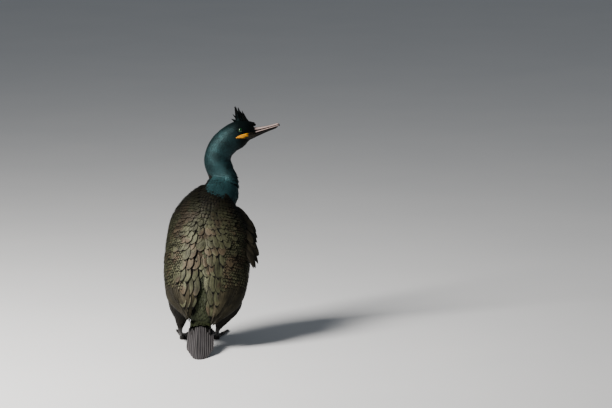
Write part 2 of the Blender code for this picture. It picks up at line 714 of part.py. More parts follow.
def make_wings():
    for side, word in ((-1, "left"), (1, "right")):
        wing = wing_body("wing_" + word, side)
        vanes = wing_feathers(side)
        if side > 0:
            vanes += [lifted_feather(side, *row) for row in LIFTED_FEATHERS]
        join(wing, vanes)
        cut(wing, [torso_room()])


def tail_axes(turn=0.0):
    """The ways along, across and up from the tail, for a feather turned this far to the right."""
    drop, turned = math.radians(TAIL_DROP), math.radians(turn)
    along = np.array([math.sin(turned) * math.cos(drop), -math.cos(turned) * math.cos(drop), -math.sin(drop)])
    right = np.array([math.cos(turned), math.sin(turned), 0.0])
    return along, right, np.cross(right, along) * -1.0


def tail_core(name):
    """The feathered root of the tail, from a flat face against the torso."""
    forward, _, _ = spine_axes(TAIL_ROOT)
    along, right, up = tail_axes()
    root = station(TAIL_ROOT)[:3]
    angles = [360.0 * k / TAIL_SIDES for k in range(TAIL_SIDES)]
    rings = [[section_point(TAIL_ROOT, angle) - forward * GAP for angle in angles]]
    for distance, half, over, under in TAIL_CORE:
        ring = []
        for angle in angles:
            sine, cosine = math.sin(math.radians(angle)), math.cos(math.radians(angle))
            height = cosine * (over if cosine > 0 else under)
            ring.append(root + along * distance + right * half * sine + up * height)
        rings.append(ring)
    return loft(name, rings, "plumage")


def tail_feather(pair, side):
    """One of the tail's stiff feathers; the middle pair lies on top, and each pair outwards lies lower."""
    along, right, up = tail_axes(side * (pair + 0.5) * TAIL_SPREAD)
    layer = TAIL_TOP_LAYER - TAIL_LAYER_STEP * (2 * pair + (side > 0))
    root = station(TAIL_ROOT)[:3] + up * layer + right * side * (pair + 0.5) * TAIL_ROOT_SPACING
    length = TAIL_LENGTHS[pair] - TAIL_ROOT_DEPTH

    def spot(u, v):
        point = root + along * (TAIL_ROOT_DEPTH + length * u) + right * v * TAIL_VANE_WIDTH / 2
        return point + up * VANE_CAMBER * (1 - v * v), up
    return vane("tail_feather", spot, LONG_LEAF, TAIL_VANE_THICKNESS, "flight_feather")


def tail_covert(distance, height, sideways, length, width):
    """A short feather over the roots of the tail's."""
    along, right, up = tail_axes()
    root = station(TAIL_ROOT)[:3] + along * distance + right * sideways
    arch = TAIL_COVERT_ARCH * (sideways / TAIL_CORE[0][1])**2

    def spot(u, v):
        edge = sideways + v * width / 2
        lift = height - arch * (1 - u) - TAIL_COVERT_ARCH * (edge**2 - sideways**2) / TAIL_CORE[0][1]**2
        return root + along * length * u + right * v * width / 2 + up * (lift + TAIL_COVERT_LIFT * u), up
    return vane("tail_covert", spot, LEAF, VANE_THICKNESS, "plumage")


def make_tail():
    core = tail_core("tail")
    feathers = [tail_feather(pair, side) for pair in range(len(TAIL_LENGTHS)) for side in (-1, 1)]
    for distance, height, count, reach, length, width in TAIL_COVERTS:
        for sideways in steps(-reach, reach, count):
            feathers.append(tail_covert(distance, height, sideways, length, width))
    join(core, feathers)
    cut(core, [floor_block()])


def bezier(points, t):
    a, b, c = (np.array(point, float) for point in points)
    return a * (1 - t)**2 + b * 2 * t * (1 - t) + c * t * t


def foot_way(side, turn):
    """The level direction of a toe, turned this far outwards from straight ahead."""
    turned = math.radians(turn) * side
    return np.array([math.sin(turned), math.cos(turned), 0.0])


def make_leg(side, word, thigh_rows, joint, foot_turn):
    """The feathered thigh, the bare tarsus, the webbed foot and its claws."""
    thigh = smooth_thigh("thigh_" + word, thigh_rows)
    cut(thigh, [torso_room(), wing_cover(side)])
    ankle, knee_end = np.array(thigh_rows[-1][:3]), np.array(thigh_rows[-2][:3])
    shin = unit(ankle - knee_end)
    joint = np.array(joint)
    corner = ankle + shin * ANKLE_BEND
    centres = [bezier((ankle + shin * GAP, corner, joint), t) for t in (0.0, 0.2, 0.4, 0.7, 1.0)]
    down = unit(joint - corner)
    tube("tarsus_" + word, centres, TARSUS_RADII, 12, "leg_skin", first_way=shin, last_way=down)
    make_foot(side, word, joint, down, foot_turn)


def smooth_thigh(name, rows):
    places = list(range(len(rows)))
    centres, radii = [], []
    for place in steps(0.0, len(rows) - 1.0, 9):
        x, y, z, radius = (through(places, [row[k] for row in rows], place) for k in range(4))
        centres.append((x, y, z))
        radii.append(radius)
    way = unit(np.array(rows[-1][:3]) - np.array(rows[-2][:3]))
    return tube(name, centres, radii, 16, "plumage", last_way=way)


def make_foot(side, word, joint, down, foot_turn):
    sole = np.array([joint[0], joint[1], 0.0]) + foot_way(side, foot_turn) * HEEL_AHEAD
    heel = sole + UP * HEEL_RADII[2] * 0.55
    ahead, across = foot_way(side, foot_turn), foot_way(side, foot_turn + 90.0)
    foot = ball("foot_" + word, heel, HEEL_RADII, (ahead, across, UP), "leg_skin", 12, 8)
    stub = [joint + down * GAP, joint + down * HEEL_AHEAD]
    pieces = [tube("stub", stub, [TARSUS_RADII[-1]] * 2, 12, "leg_skin", first_way=down, last_way=down)]
    tips = []
    for finger, (turn, length, thick, thin) in zip(TOE_NAMES, TOES):
        way = foot_way(side, foot_turn + turn)
        radii = [thick * 0.8, thick, thick * 0.86, thick * 0.93, thin * 1.08, thin]
        shares = [0.0, 0.12, 0.4, 0.5, 0.82, 1.0]
        heights = [radius - TOE_PRESS for radius in radii]
        centres = [sole + way * length * share + UP * height for share, height in zip(shares, heights)]
        centres[-1] = sole + way * length + UP * (thin * 1.15)
        pieces.append(tube("toe", centres, radii, 8, "leg_skin", last_way=way))
        tips.append(sole + way * length * WEB_REACH)
        make_claw("claw_%s_%s" % (word, finger), centres[-1], way, thin)
    for a, b in zip(tips, tips[1:]):
        pieces.append(web(sole, a, b))
    join(foot, pieces)
    cut(foot, [floor_block()])


def web(sole, first, second):
    """The skin between two toes, its front edge drawn in."""
    notch = sole + ((first - sole) + (second - sole)) / 2 * WEB_NOTCH
    outline = [sole, first, (first + notch * 3) / 4, (second + notch * 3) / 4, second]
    rings = [[point + UP * height for point in outline] for height in (-1.0, WEB_THICKNESS)]
    return loft("web", rings, "leg_skin")


def make_claw(name, toe_end, way, thin):
    """A curved claw that comes down to the floor from the toe's end."""
    start = toe_end + way * GAP
    tip = toe_end + way * CLAW_LENGTH + UP * (CLAW_TIP_HEIGHT - toe_end[2])
    over = toe_end + way * CLAW_LENGTH * 0.55 + UP * 1.2
    centres = [bezier((start, over, tip), t) for t in (0.0, 0.3, 0.6, 0.85, 1.0)]
    tube(name, centres, [thin * 0.82, thin * 0.7, thin * 0.5, thin * 0.28, 0.0], 8, "claw", first_way=way)


def stand_on_origin():
    """Moves the model so that the middle of the underside of its box is the origin."""
    places = np.array([vert.co for obj in MODEL.objects for vert in obj.data.vertices])
    low, high = places.min(axis=0), places.max(axis=0)
    middle = Vector((*(low + high)[:2] / 2, low[2]))
    for obj in MODEL.objects:
        obj.data.transform(Matrix.Translation(-middle))


def main():
    make_torso()
    make_neck()
    make_head()
    make_bill()
    make_crest()
    make_wings()
    make_tail()
    make_leg(-1, "left", THIGH_LEFT, FOOT_JOINT_LEFT, FOOT_TURN_LEFT)
    make_leg(1, "right", THIGH_RIGHT, FOOT_JOINT_RIGHT, FOOT_TURN_RIGHT)
    stand_on_origin()


main()
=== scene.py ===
"""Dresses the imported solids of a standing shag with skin, feathers, head, feet and finishes.

Shapes are worked out in millimetres on the same spine as the solids, then turned to metres and moved
to where the solids stand. +X is the bird's right side, +Y the way its breast faces, +Z is up.
"""

import math

import bmesh
import bpy
import numpy as np
from bpy.props import FloatProperty, FloatVectorProperty, PointerProperty
from mathutils import Matrix, Vector
from mathutils.kdtree import KDTree


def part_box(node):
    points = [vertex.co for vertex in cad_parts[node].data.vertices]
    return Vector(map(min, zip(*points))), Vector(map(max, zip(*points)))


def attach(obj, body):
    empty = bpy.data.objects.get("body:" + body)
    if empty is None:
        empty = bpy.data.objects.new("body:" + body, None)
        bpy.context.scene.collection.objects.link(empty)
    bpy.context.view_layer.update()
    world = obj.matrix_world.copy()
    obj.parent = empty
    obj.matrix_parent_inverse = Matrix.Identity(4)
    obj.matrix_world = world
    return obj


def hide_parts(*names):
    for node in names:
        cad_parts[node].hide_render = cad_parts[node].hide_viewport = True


bl_info = {
    "name": "Standing shag",
    "version": (1, 0, 0),
    "blender": (4, 5, 0),
    "location": "3D View > Sidebar > Shag",
    "description": "Skin, feathers, head, feet and stage of a life-size shag",
    "category": "Add Mesh",
}

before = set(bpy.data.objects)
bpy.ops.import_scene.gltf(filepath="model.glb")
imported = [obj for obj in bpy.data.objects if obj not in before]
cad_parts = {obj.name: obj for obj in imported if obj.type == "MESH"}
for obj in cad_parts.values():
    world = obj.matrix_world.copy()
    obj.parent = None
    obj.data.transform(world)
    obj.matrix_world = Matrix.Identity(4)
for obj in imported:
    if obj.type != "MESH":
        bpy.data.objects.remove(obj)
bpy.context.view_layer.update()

MM = 0.001
ROOT = "root"
UP = np.array([0.0, 0.0, 1.0])
SIDES = ((-1, "left"), (1, "right"))

# The spine from the tail root to the base of the bill. A row holds the centre's x, y and z, half the width,
# the radius to the back, the radius to the belly and the way the back faces
SPINE = np.array([
    [-8.0, -84.0, 56.0, 24.0, 10.0, 13.0, -0.10, -1.0, 0.60],
    [-3.5, -76.0, 74.0, 50.0, 21.0, 28.0, -0.12, -1.0, 0.50],
    [0.5, -61.0, 100.0, 73.0, 35.0, 47.0, -0.14, -1.0, 0.45],
    [3.0, -40.0, 137.0, 84.0, 46.0, 62.0, -0.14, -1.0, 0.45],
    [4.5, -16.0, 179.0, 87.0, 53.0, 70.0, -0.14, -1.0, 0.45],
    [6.5, 8.0, 224.0, 83.0, 54.0, 72.0, -0.14, -1.0, 0.45],
    [8.5, 31.0, 266.0, 72.5, 50.0, 66.0, -0.14, -1.0, 0.50],
    [16.5, 51.0, 301.0, 56.0, 43.0, 55.0, -0.16, -1.0, 0.60],
    [32.0, 67.0, 327.0, 38.5, 34.0, 42.0, -0.25, -1.0, 0.50],
    [39.5, 79.0, 346.0, 33.0, 28.0, 33.0, -0.40, -1.0, 0.30],
    [32.0, 86.0, 369.0, 30.0, 27.0, 30.0, -0.70, -0.8, 0.10],
    [27.0, 88.0, 391.0, 27.5, 28.0, 29.0, -0.90, -0.5, 0.20],
    [33.5, 87.0, 414.5, 25.0, 28.0, 30.0, -0.95, -0.25, 0.40],
    [50.0, 85.0, 435.0, 23.0, 28.0, 31.5, -0.75, -0.1, 0.75],
    [68.0, 85.0, 447.5, 21.5, 28.5, 32.0, -0.40, -0.03, 0.92],
    [84.5, 87.0, 453.0, 19.5, 27.5, 27.5, -0.15, 0.0, 0.99],
    [98.0, 88.7, 453.5, 15.0, 21.0, 19.5, -0.05, 0.0, 1.0],
    [109.0, 90.2, 451.5, 9.5, 13.5, 11.0, -0.10, 0.0, 1.0],
])
TAIL_ROOT, HEAD_START, BILL_BASE = 0.0, 13.6, 17.0
SPINE_STEP = 0.02

EYE_STATION, EYE_ANGLE = 14.55, 72.5
EYE_RADIUS, EYE_OUT = 5.2, 1.8
BILL_RISE, BILL_TURN, BILL_GAP = 15.0, 10.0, 0.35

# The bare skin at the corner of the mouth: stations, angles of the mouth's fold, of its upper and of its
# lower edge
GAPE_PLACES = [13.9, 14.15, 14.5, 15.0, 15.6, 16.2, 16.95]
GAPE_FOLDS = [94.0, 96.0, 98.5, 100.0, 98.0, 95.0, 92.0]
GAPE_TOPS = [93.5, 93.2, 93.0, 93.5, 93.0, 89.0, 83.0]
GAPE_LOWS = [97.0, 103.0, 109.0, 117.0, 127.0, 134.0, 138.0]

# The wing's patch on the torso, as in the solids
WING_TOP, WING_END = 7.35, 1.1
WING_PLACES = [0.0, 0.12, 0.30, 0.50, 0.70, 0.86, 1.0]
WING_BACK_EDGE = [36.0, 24.0, 10.0, 6.0, 6.0, 10.0, 20.0]
WING_LOW_EDGE = [72.0, 104.0, 118.0, 120.0, 112.0, 98.0, 76.0]
WING_THICKNESS = [1.6, 4.0, 7.0, 9.0, 9.5, 11.0, 12.5]
WING_RIM, WING_SUNK, WING_LENGTH = 1.0, 4.0, 246.0
WING_FRONT, BLADE_START, BLADE_BACKWARD = -0.06, 0.95, 0.10

# How much the feathers stand off each wing at the shoulder, round which place on it and how far each way
WING_FULLNESS = {-1: 6.0, 1: 0.0}
FULL_ALONG, FULL_LENGTH = 0.24, 0.15
FULL_ACROSS, FULL_WIDTH = 0.72, 0.30

# Each thigh down to the ankle: centre x, y, z and radius
THIGHS = {
    -1: [(-40.0, -36.0, 122.0, 40.0), (-51.0, -28.0, 86.0, 31.0), (-53.0, -29.0, 58.0, 16.0),
         (-54.5, -35.0, 39.0, 7.5)],
    1: [(44.0, -36.0, 122.0, 40.0), (50.0, -28.0, 90.0, 31.5), (39.0, -29.0, 61.0, 20.5),
        (30.0, -35.0, 38.0, 8.0)],
}

TAIL_LENGTHS = [132.0, 129.0, 123.0, 114.0, 103.0, 92.0]
TAIL_DROP, TAIL_SPREAD = 27.7, 0.3
TAIL_ROOT_SPACING, TAIL_ROOT_DEPTH = 3.7, 12.0
TAIL_TOP_LAYER, TAIL_LAYER_STEP, TAIL_WIDTH = 5.4, 0.9, 15.5
TAIL_CORE = [(0.0, 24.0, 9.6, 10.0), (9.0, 24.5, 9.5, 9.0), (24.0, 24.0, 8.6, 8.6), (40.0, 19.0, 5.0, 7.0),
             (52.0, 9.0, 2.0, 4.0)]

# How deep the coat is over the skin: stations and millimetres
COAT_PLACES = [0.0, 3.0, 7.0, 8.5, 10.0, 13.0, 15.5, 17.0]
COAT_DEPTHS = [2.4, 2.8, 2.4, 1.8, 1.5, 1.2, 0.9, 0.4]
# Where the coat lies closer than the solids: place, angle, how far each way, and millimetres
HOLLOWS = [(7.6, -80.0, 0.5, 45.0, 8.5), (8.15, 105.0, 0.6, 45.0, -6.0), (9.6, 105.0, 0.55, 45.0, 2.2),
           (10.7, -35.0, 1.0, 60.0, -3.4), (12.3, -12.0, 0.9, 60.0, -1.8), (6.5, 0.0, 0.9, 34.0, -3.0)]


# Shape of the bird

def unit(vectors):
    vectors = np.asarray(vectors, float)
    return vectors / np.linalg.norm(vectors, axis=-1, keepdims=True)


def through(places, values, at):
    """The smooth curve through these values, read at many places and held level past both ends."""
    places, values = np.asarray(places, float), np.asarray(values, float)
    at = np.clip(np.asarray(at, float), places[0], places[-1])
    slopes = np.gradient(values, edge_order=1) / np.gradient(places, edge_order=1)
    i = np.clip(np.searchsorted(places, at, side="right") - 1, 0, len(places) - 2)
    width = places[i + 1] - places[i]
    t = (at - places[i]) / width
    return ((2 * t**3 - 3 * t**2 + 1) * values[i] + (3 * t**2 - 2 * t**3) * values[i + 1]
            + (t**3 - 2 * t**2 + t) * width * slopes[i] + (t**3 - t**2) * width * slopes[i + 1])


def station(place):
    """The spine's rows of sizes at places between two stations, by a Catmull-Rom curve."""
    place = np.atleast_1d(np.asarray(place, float))
    last = len(SPINE) - 1
    i = np.clip(np.floor(place).astype(int), 0, last - 1)
    t = (place - i)[:, None]
    a, b, c, d = (SPINE[np.clip(i + k, 0, last)] for k in (-1, 0, 1, 2))
    return 0.5 * (2 * b + (c - a) * t + (2 * a - 5 * b + 4 * c - d) * t**2 + (3 * b - a - 3 * c + d) * t**3)


def bill_axes():
    """The way the bill points, its right side and its upper side."""
    rise, turn = math.radians(BILL_RISE), math.radians(BILL_TURN)
    forward = np.array([math.cos(rise) * math.cos(turn), math.cos(rise) * math.sin(turn), math.sin(rise)])
    right = unit(np.cross(forward, UP))
    return forward, right, np.cross(right, forward)


def spine_axes(place):
    """The spine's forward, right and back directions at many places."""
    place = np.atleast_1d(np.asarray(place, float))
    low, high = np.maximum(place - SPINE_STEP, 0.0), np.minimum(place + SPINE_STEP, BILL_BASE)
    forward = unit(station(high)[:, :3] - station(low)[:, :3])
    share = np.maximum(place - (BILL_BASE - 1.0), 0.0)[:, None]
    forward = unit(forward * (1 - share) + bill_axes()[0] * share)
    right = unit(np.cross(forward, station(place)[:, 6:9]))
    return forward, right, np.cross(right, forward)


def section_point(place, angle, lift=0.0):
    """Points of the body's sections: angle 0 is the middle of the back, 90 the right side, 180 the belly.

    lift widens the section.
    """
    place, angle = np.broadcast_arrays(np.atleast_1d(np.asarray(place, float)), np.asarray(angle, float))
    row = station(place)
    _, right, back = spine_axes(place)
    across, up = np.sin(np.radians(angle)), np.cos(np.radians(angle))
    depth = np.where(up > 0, row[:, 4], row[:, 5])
    return row[:, :3] + right * (across * (row[:, 3] + lift))[:, None] + back * (up * (depth + lift))[:, None]


def skin(place, angle, lift=0.0):
    """Points on the body's surface, raised along its outward direction, and those directions."""
    place, angle = np.broadcast_arrays(np.atleast_1d(np.asarray(place, float)), np.asarray(angle, float))
    along = section_point(place + 0.05, angle) - section_point(place - 0.05, angle)
    around = section_point(place, angle + 2.0) - section_point(place, angle - 2.0)
    out = unit(np.cross(around, along))
    return section_point(place, angle) + out * np.broadcast_to(lift, place.shape)[:, None], out


def hollow(place, angle):
    """How much closer than the solids the coat lies here."""
    return sum(deep * np.exp(-((place - at) / long)**2 - ((angle - turn) / wide)**2)
               for at, turn, long, wide, deep in HOLLOWS)


def wing_place(side, a, b):
    """The place and the angle on the body under these places on the wing."""
    back_edge, low_edge = through(WING_PLACES, WING_BACK_EDGE, a), through(WING_PLACES, WING_LOW_EDGE, a)
    return WING_TOP + (WING_END - WING_TOP) * a, side * (back_edge + (low_edge - back_edge) * b)


def wing_surface(side, a, b):
    """Points of the wing's outer surface and their outward directions.

    a runs from the shoulder, 0, to the wing's end, 1, and straight on past it; b runs from the edge on the
    back, 0, to the lower edge, 1.
    """
    a, b = np.broadcast_arrays(np.atleast_1d(np.asarray(a, float)), np.asarray(b, float))

    def near(on_wing):
        place, angle = wing_place(side, on_wing, b)
        full = through(WING_PLACES, WING_THICKNESS, on_wing)
        rise = WING_RIM + (full - WING_RIM) * np.clip(1.0 - np.abs(2.0 * b - 1.0)**4, 0.0, 1.0)
        apart = ((on_wing - FULL_ALONG) / FULL_LENGTH)**2 + ((b - FULL_ACROSS) / FULL_WIDTH)**2
        rise += WING_FULLNESS[side] * np.exp(-apart)
        return skin(place, angle, rise - hollow(place, angle))
    point, out = near(np.clip(a, WING_FRONT, 1.0))
    past = a > 1.0
    if past.any():
        before, _ = near(np.full(a.shape, BLADE_START))
        end, end_out = near(np.ones(a.shape))
        way = unit(unit(end - before) + np.array([0.0, -BLADE_BACKWARD, 0.0]))
        flat_out = unit(end_out - way * (end_out * way).sum(axis=1, keepdims=True))
        point = np.where(past[:, None], end + way * ((a - 1.0) * WING_LENGTH)[:, None], point)
        out = np.where(past[:, None], flat_out, out)
    return point, out


def eye_frame(side):
    """The eyeball's centre, the way the eye looks, and the ways forward and up across it."""
    point, out = (found[0] for found in skin(EYE_STATION, side * EYE_ANGLE))
    forward = spine_axes(EYE_STATION)[0][0]
    forward = unit(forward - out * forward.dot(out))
    return point - out * (EYE_RADIUS - EYE_OUT), out, forward, np.cross(out, forward)


def tail_axes(turn=0.0):
    """The ways along, across and up from the tail, for a feather turned this far to the right."""
    drop, turned = math.radians(TAIL_DROP), math.radians(turn)
    along = np.array([math.sin(turned) * math.cos(drop), -math.cos(turned) * math.cos(drop), -math.sin(drop)])
    right = np.array([math.cos(turned), math.sin(turned), 0.0])
    return along, right, -np.cross(right, along)


def thigh_surface(side, share, angle, lift=0.0):
    """Points round a thigh: share runs from the hip, 0, to the ankle, 1."""
    share, angle = np.broadcast_arrays(np.atleast_1d(np.asarray(share, float)), np.asarray(angle, float))
    rows = np.array(THIGHS[side])
    places = np.arange(len(rows))

    def centre(s):
        return np.stack([through(places, rows[:, k], s * (len(rows) - 1)) for k in range(4)], axis=1)
    here, step = centre(share), 0.01
    along = unit(centre(np.minimum(share + step, 1.0))[:, :3] - centre(np.maximum(share - step, 0.0))[:, :3])
    across = unit(np.cross(along, np.array([0.0, 1.0, 0.0])))
    up = np.cross(across, along)
    turned = np.radians(angle)[:, None]
    out = across * np.cos(turned) + up * np.sin(turned)
    return here[:, :3] + out * (here[:, 3] + lift)[:, None], out


def find_shift():
    """Where the solids stand from the spine's own origin, from the middle of an eye, in millimetres."""
    low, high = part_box("eye_right")
    return np.array((low + high) / 2) / MM - eye_frame(1)[0]


SHIFT = find_shift()


def placed(points):
    """Points of the spine's millimetres, in the model's metres."""
    return (np.asarray(points, float) + SHIFT) * MM


# Meshes and objects

def new_object(name, points, faces):
    mesh = bpy.data.meshes.new(name)
    mesh.from_pydata([tuple(point) for point in points], [], [tuple(face) for face in faces])
    mesh.update()
    mesh.shade_smooth()
    obj = bpy.data.objects.new(name, mesh)
    bpy.context.scene.collection.objects.link(obj)
    return obj


def plain_mesh(obj):
    """Turns what the object's modifiers make into its own plain mesh."""
    graph = bpy.context.evaluated_depsgraph_get()
    graph.update()
    mesh = bpy.data.meshes.new_from_object(obj.evaluated_get(graph), preserve_all_data_layers=True,
                                           depsgraph=graph)
    obj.modifiers.clear()
    obj.data = mesh
    return obj


def joined(parts):
    """The first part, with the faces of them all."""
    whole = parts[0]
    work = bmesh.new()
    for part in parts:
        work.from_mesh(part.data)
    work.to_mesh(whole.data)
    work.free()
    for part in parts[1:]:
        bpy.data.objects.remove(part)
    return whole


def facing_out(obj):
    work = bmesh.new()
    work.from_mesh(obj.data)
    bmesh.ops.recalc_face_normals(work, faces=work.faces)
    work.to_mesh(obj.data)
    work.free()
    return obj


def stand_on_floor(obj):
    """Lays what would reach under the floor on it."""
    for vertex in obj.data.vertices:
        vertex.co.z = max(vertex.co.z, 0.0)
    obj.data.update()
    return obj


def attribute(mesh, name, values, kind="FLOAT"):
    """Values that the mesh keeps on its points."""
    values = np.asarray(values, np.float32)
    layer = mesh.attributes.new(name, kind, "POINT")
    layer.data.foreach_set("value" if values.ndim == 1 else "vector", values.ravel())


def drop_attributes(mesh, names):
    for name in names:
        layer = mesh.attributes.get(name)
        if layer:
            mesh.attributes.remove(layer)


def grid_faces(rows, columns, closed=False):
    """Faces of a grid of points in rows, closed round if each row is a ring."""
    faces = []
    for row in range(rows - 1):
        here, above = row * columns, (row + 1) * columns
        for k in range(columns if closed else columns - 1):
            after = (k + 1) % columns
            faces.append((here + k, here + after, above + after, above + k))
    return faces


def closed_rings(name, rings):
    """A closed body through rings of equally many points, with flat ends."""
    rings = np.asarray(rings)
    rows, columns = rings.shape[:2]
    faces = grid_faces(rows, columns, closed=True)
    faces.append(tuple(range(columns)))
    faces.append(tuple(range((rows - 1) * columns, rows * columns)))
    return facing_out(new_object(name, rings.reshape(-1, 3), faces))


def finish_piece(obj, material, replaced=()):
    """The piece's material, its body and the solids it replaces."""
    if material:
        obj.data.materials.clear()
        obj.data.materials.append(material)
    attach(obj, ROOT)
    if replaced:
        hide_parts(*replaced)
    return obj


# Materials

def linear(hex_colour):
    """An sRGB hex colour as linear red, green, blue and alpha."""
    parts = [int(hex_colour[k:k + 2], 16) / 255 for k in (1, 3, 5)]
    return tuple(p / 12.92 if p <= 0.04045 else ((p + 0.055) / 1.055)**2.4 for p in parts) + (1.0,)


def feed(tree, node, inputs):
    """Gives each of these inputs its value or the output that feeds it."""
    for key, value in inputs.items():
        if isinstance(value, bpy.types.NodeSocket):
            tree.links.new(value, node.inputs[key])
        else:
            node.inputs[key].default_value = value


def add(tree, kind, settings=None, inputs=None):
    """A new node with its settings and its inputs."""
    made = tree.nodes.new(kind)
    for name, value in (settings or {}).items():
        setattr(made, name, value)
    feed(tree, made, inputs or {})
    return made


def new_material(name):
    """A material with only its output and a Principled shader, and its node tree."""
    made = bpy.data.materials.new(name)
    made.use_nodes = True
    tree = made.node_tree
    tree.nodes.clear()
    shader = add(tree, "ShaderNodeBsdfPrincipled")
    add(tree, "ShaderNodeOutputMaterial", {}, {"Surface": shader.outputs[0]})
    return made, tree, shader


def mixed(tree, factor, first, second):
    """The colour between two, by a factor."""
    made = add(tree, "ShaderNodeMix", {"data_type": "RGBA"}, {"Factor": factor, 6: first, 7: second})
    return made.outputs[2]


def ramp(tree, value, stops):
    """A number mapped through stops of place and value."""
    made = add(tree, "ShaderNodeValToRGB", {}, {"Fac": value})
    points = made.color_ramp.elements
    while len(points) < len(stops):
        points.new(0.5)
    for point, (place, level) in zip(points, stops):
        point.position = place
        point.color = (level, level, level, 1.0)
    return made.outputs["Color"]


def read(tree, name, output="Fac"):
    return add(tree, "ShaderNodeAttribute", {"attribute_name": name}).outputs[output]


def math_node(tree, operation, first, second=0.0):
    return add(tree, "ShaderNodeMath", {"operation": operation}, {0: first, 1: second}).outputs[0]


def own_place(tree):
    """The object's own coordinates."""
    return add(tree, "ShaderNodeTexCoord").outputs["Object"]


def noise(tree, scale, detail, at=None):
    """Noise over the object's own coordinates, or over others."""
    made = add(tree, "ShaderNodeTexNoise", {}, {"Scale": scale, "Detail": detail})
    tree.links.new(at or own_place(tree), made.inputs["Vector"])
    return made.outputs[0]


def bump(tree, height, strength, distance, invert=False):
    """The normal of a surface with this fine relief."""
    made = add(tree, "ShaderNodeBump", {"invert": invert},
               {"Strength": strength, "Distance": distance, "Height": height})
    return made.outputs[0]


def stretch(tree, value, low=0.35, high=0.65):
    """A noise's middle values spread over 0 to 1."""
    return ramp(tree, value, [(low, 0.0), (high, 1.0)])


def blend_sum(tree, *terms):
    """The sum of values, each times its own weight."""
    total = None
    for value, weight in terms:
        part = math_node(tree, "MULTIPLY", value, weight)
        total = part if total is None else math_node(tree, "ADD", total, part)
    return total


BARB_SLANT, FEATHER_SPECULAR = 0.14, 0.15


def feather_material(name, colours, roughness, metal, barb_mm, border_from=0.35, streak=0.35, warm=None):
    """The finish of one kind of feather from its dark, light and border colours.

    Barbs run slantwise from the shaft, streaks follow the vane, and each feather has a shade of its own. warm
    is a second light colour that takes over in patches.
    """
    dark, light, border = colours
    made, tree, shader = new_material(name)
    shade, edge, length = read(tree, "shade"), read(tree, "edge"), read(tree, "length")
    vane = add(tree, "ShaderNodeSeparateXYZ", {}, {0: read(tree, "vane", "Vector")})
    across, share = vane.outputs[0], vane.outputs[1]
    from_shaft = math_node(tree, "ABSOLUTE", across)
    slant = math_node(tree, "SUBTRACT", share, math_node(tree, "MULTIPLY", from_shaft, BARB_SLANT))
    turn = math_node(tree, "MULTIPLY", math_node(tree, "MULTIPLY", slant, length), 2 * math.pi / barb_mm)
    wave = math_node(tree, "MULTIPLY_ADD", math_node(tree, "SINE", turn), 0.5)
    barbs = ramp(tree, wave, [(0.0, 0.0), (1.0, 1.0)])
    spot = add(tree, "ShaderNodeCombineXYZ", {}, {
        "X": math_node(tree, "MULTIPLY", across, 3.5), "Y": share,
        "Z": math_node(tree, "MULTIPLY", shade, 23.0)})
    streaks = stretch(tree, noise(tree, 1.7, 3.0, spot.outputs[0]))
    clouds = stretch(tree, noise(tree, 45.0, 3.0))
    tone = blend_sum(tree, (shade, 0.65 - streak), (streaks, streak), (clouds, 0.35))
    if warm:
        own = math_node(tree, "MULTIPLY", math_node(tree, "SUBTRACT", shade, 0.5), 0.16)
        patches = math_node(tree, "ADD", noise(tree, 30.0, 2.0), own)
        light = mixed(tree, stretch(tree, patches, 0.47, 0.60), light, warm)
    colour = mixed(tree, math_node(tree, "MULTIPLY", tone, read(tree, "pale")), dark, light)
    shaft = ramp(tree, from_shaft, [(0.02, 0.4), (0.06, 0.0)])
    rim = ramp(tree, edge, [(border_from, 0.0), (min(border_from + 0.2, 1.0), 1.0)])
    for mark in (shaft, rim):
        colour = mixed(tree, mark, colour, border)
    rough = math_node(tree, "ADD", blend_sum(tree, (barbs, 0.10), (rim, 0.25)), roughness)
    feed(tree, shader, {"Base Color": colour, "Roughness": rough, "Metallic": metal,
                        "Specular IOR Level": FEATHER_SPECULAR, "Normal": bump(tree, barbs, 0.35, 0.0002)})
    return made


# Feathers

# Outlines of a feather: share of its length, share of its width there
SCALE_OUTLINE = [(0.0, 0.36), (0.30, 0.90), (0.54, 1.0), (0.70, 0.86), (0.87, 0.36), (1.0, 0.0)]
SCAPULAR_OUTLINE = [(0.0, 0.30), (0.22, 0.74), (0.45, 0.97), (0.60, 1.0), (0.71, 0.90), (0.85, 0.50),
                    (0.94, 0.20), (1.0, 0.0)]
SOFT_OUTLINE = [(0.0, 0.45), (0.40, 1.0), (0.80, 0.78), (1.0, 0.0)]
PLUME_OUTLINE = [(0.0, 0.7), (0.18, 1.0), (0.42, 0.9), (0.68, 0.62), (0.87, 0.34), (1.0, 0.0)]
TAIL_OUTLINE = [(0.0, 0.7), (0.10, 0.8), (0.25, 0.9), (0.45, 0.96), (0.65, 1.0), (0.80, 0.98), (0.90, 0.84),
                (0.96, 0.58), (0.985, 0.34), (1.0, 0.0)]


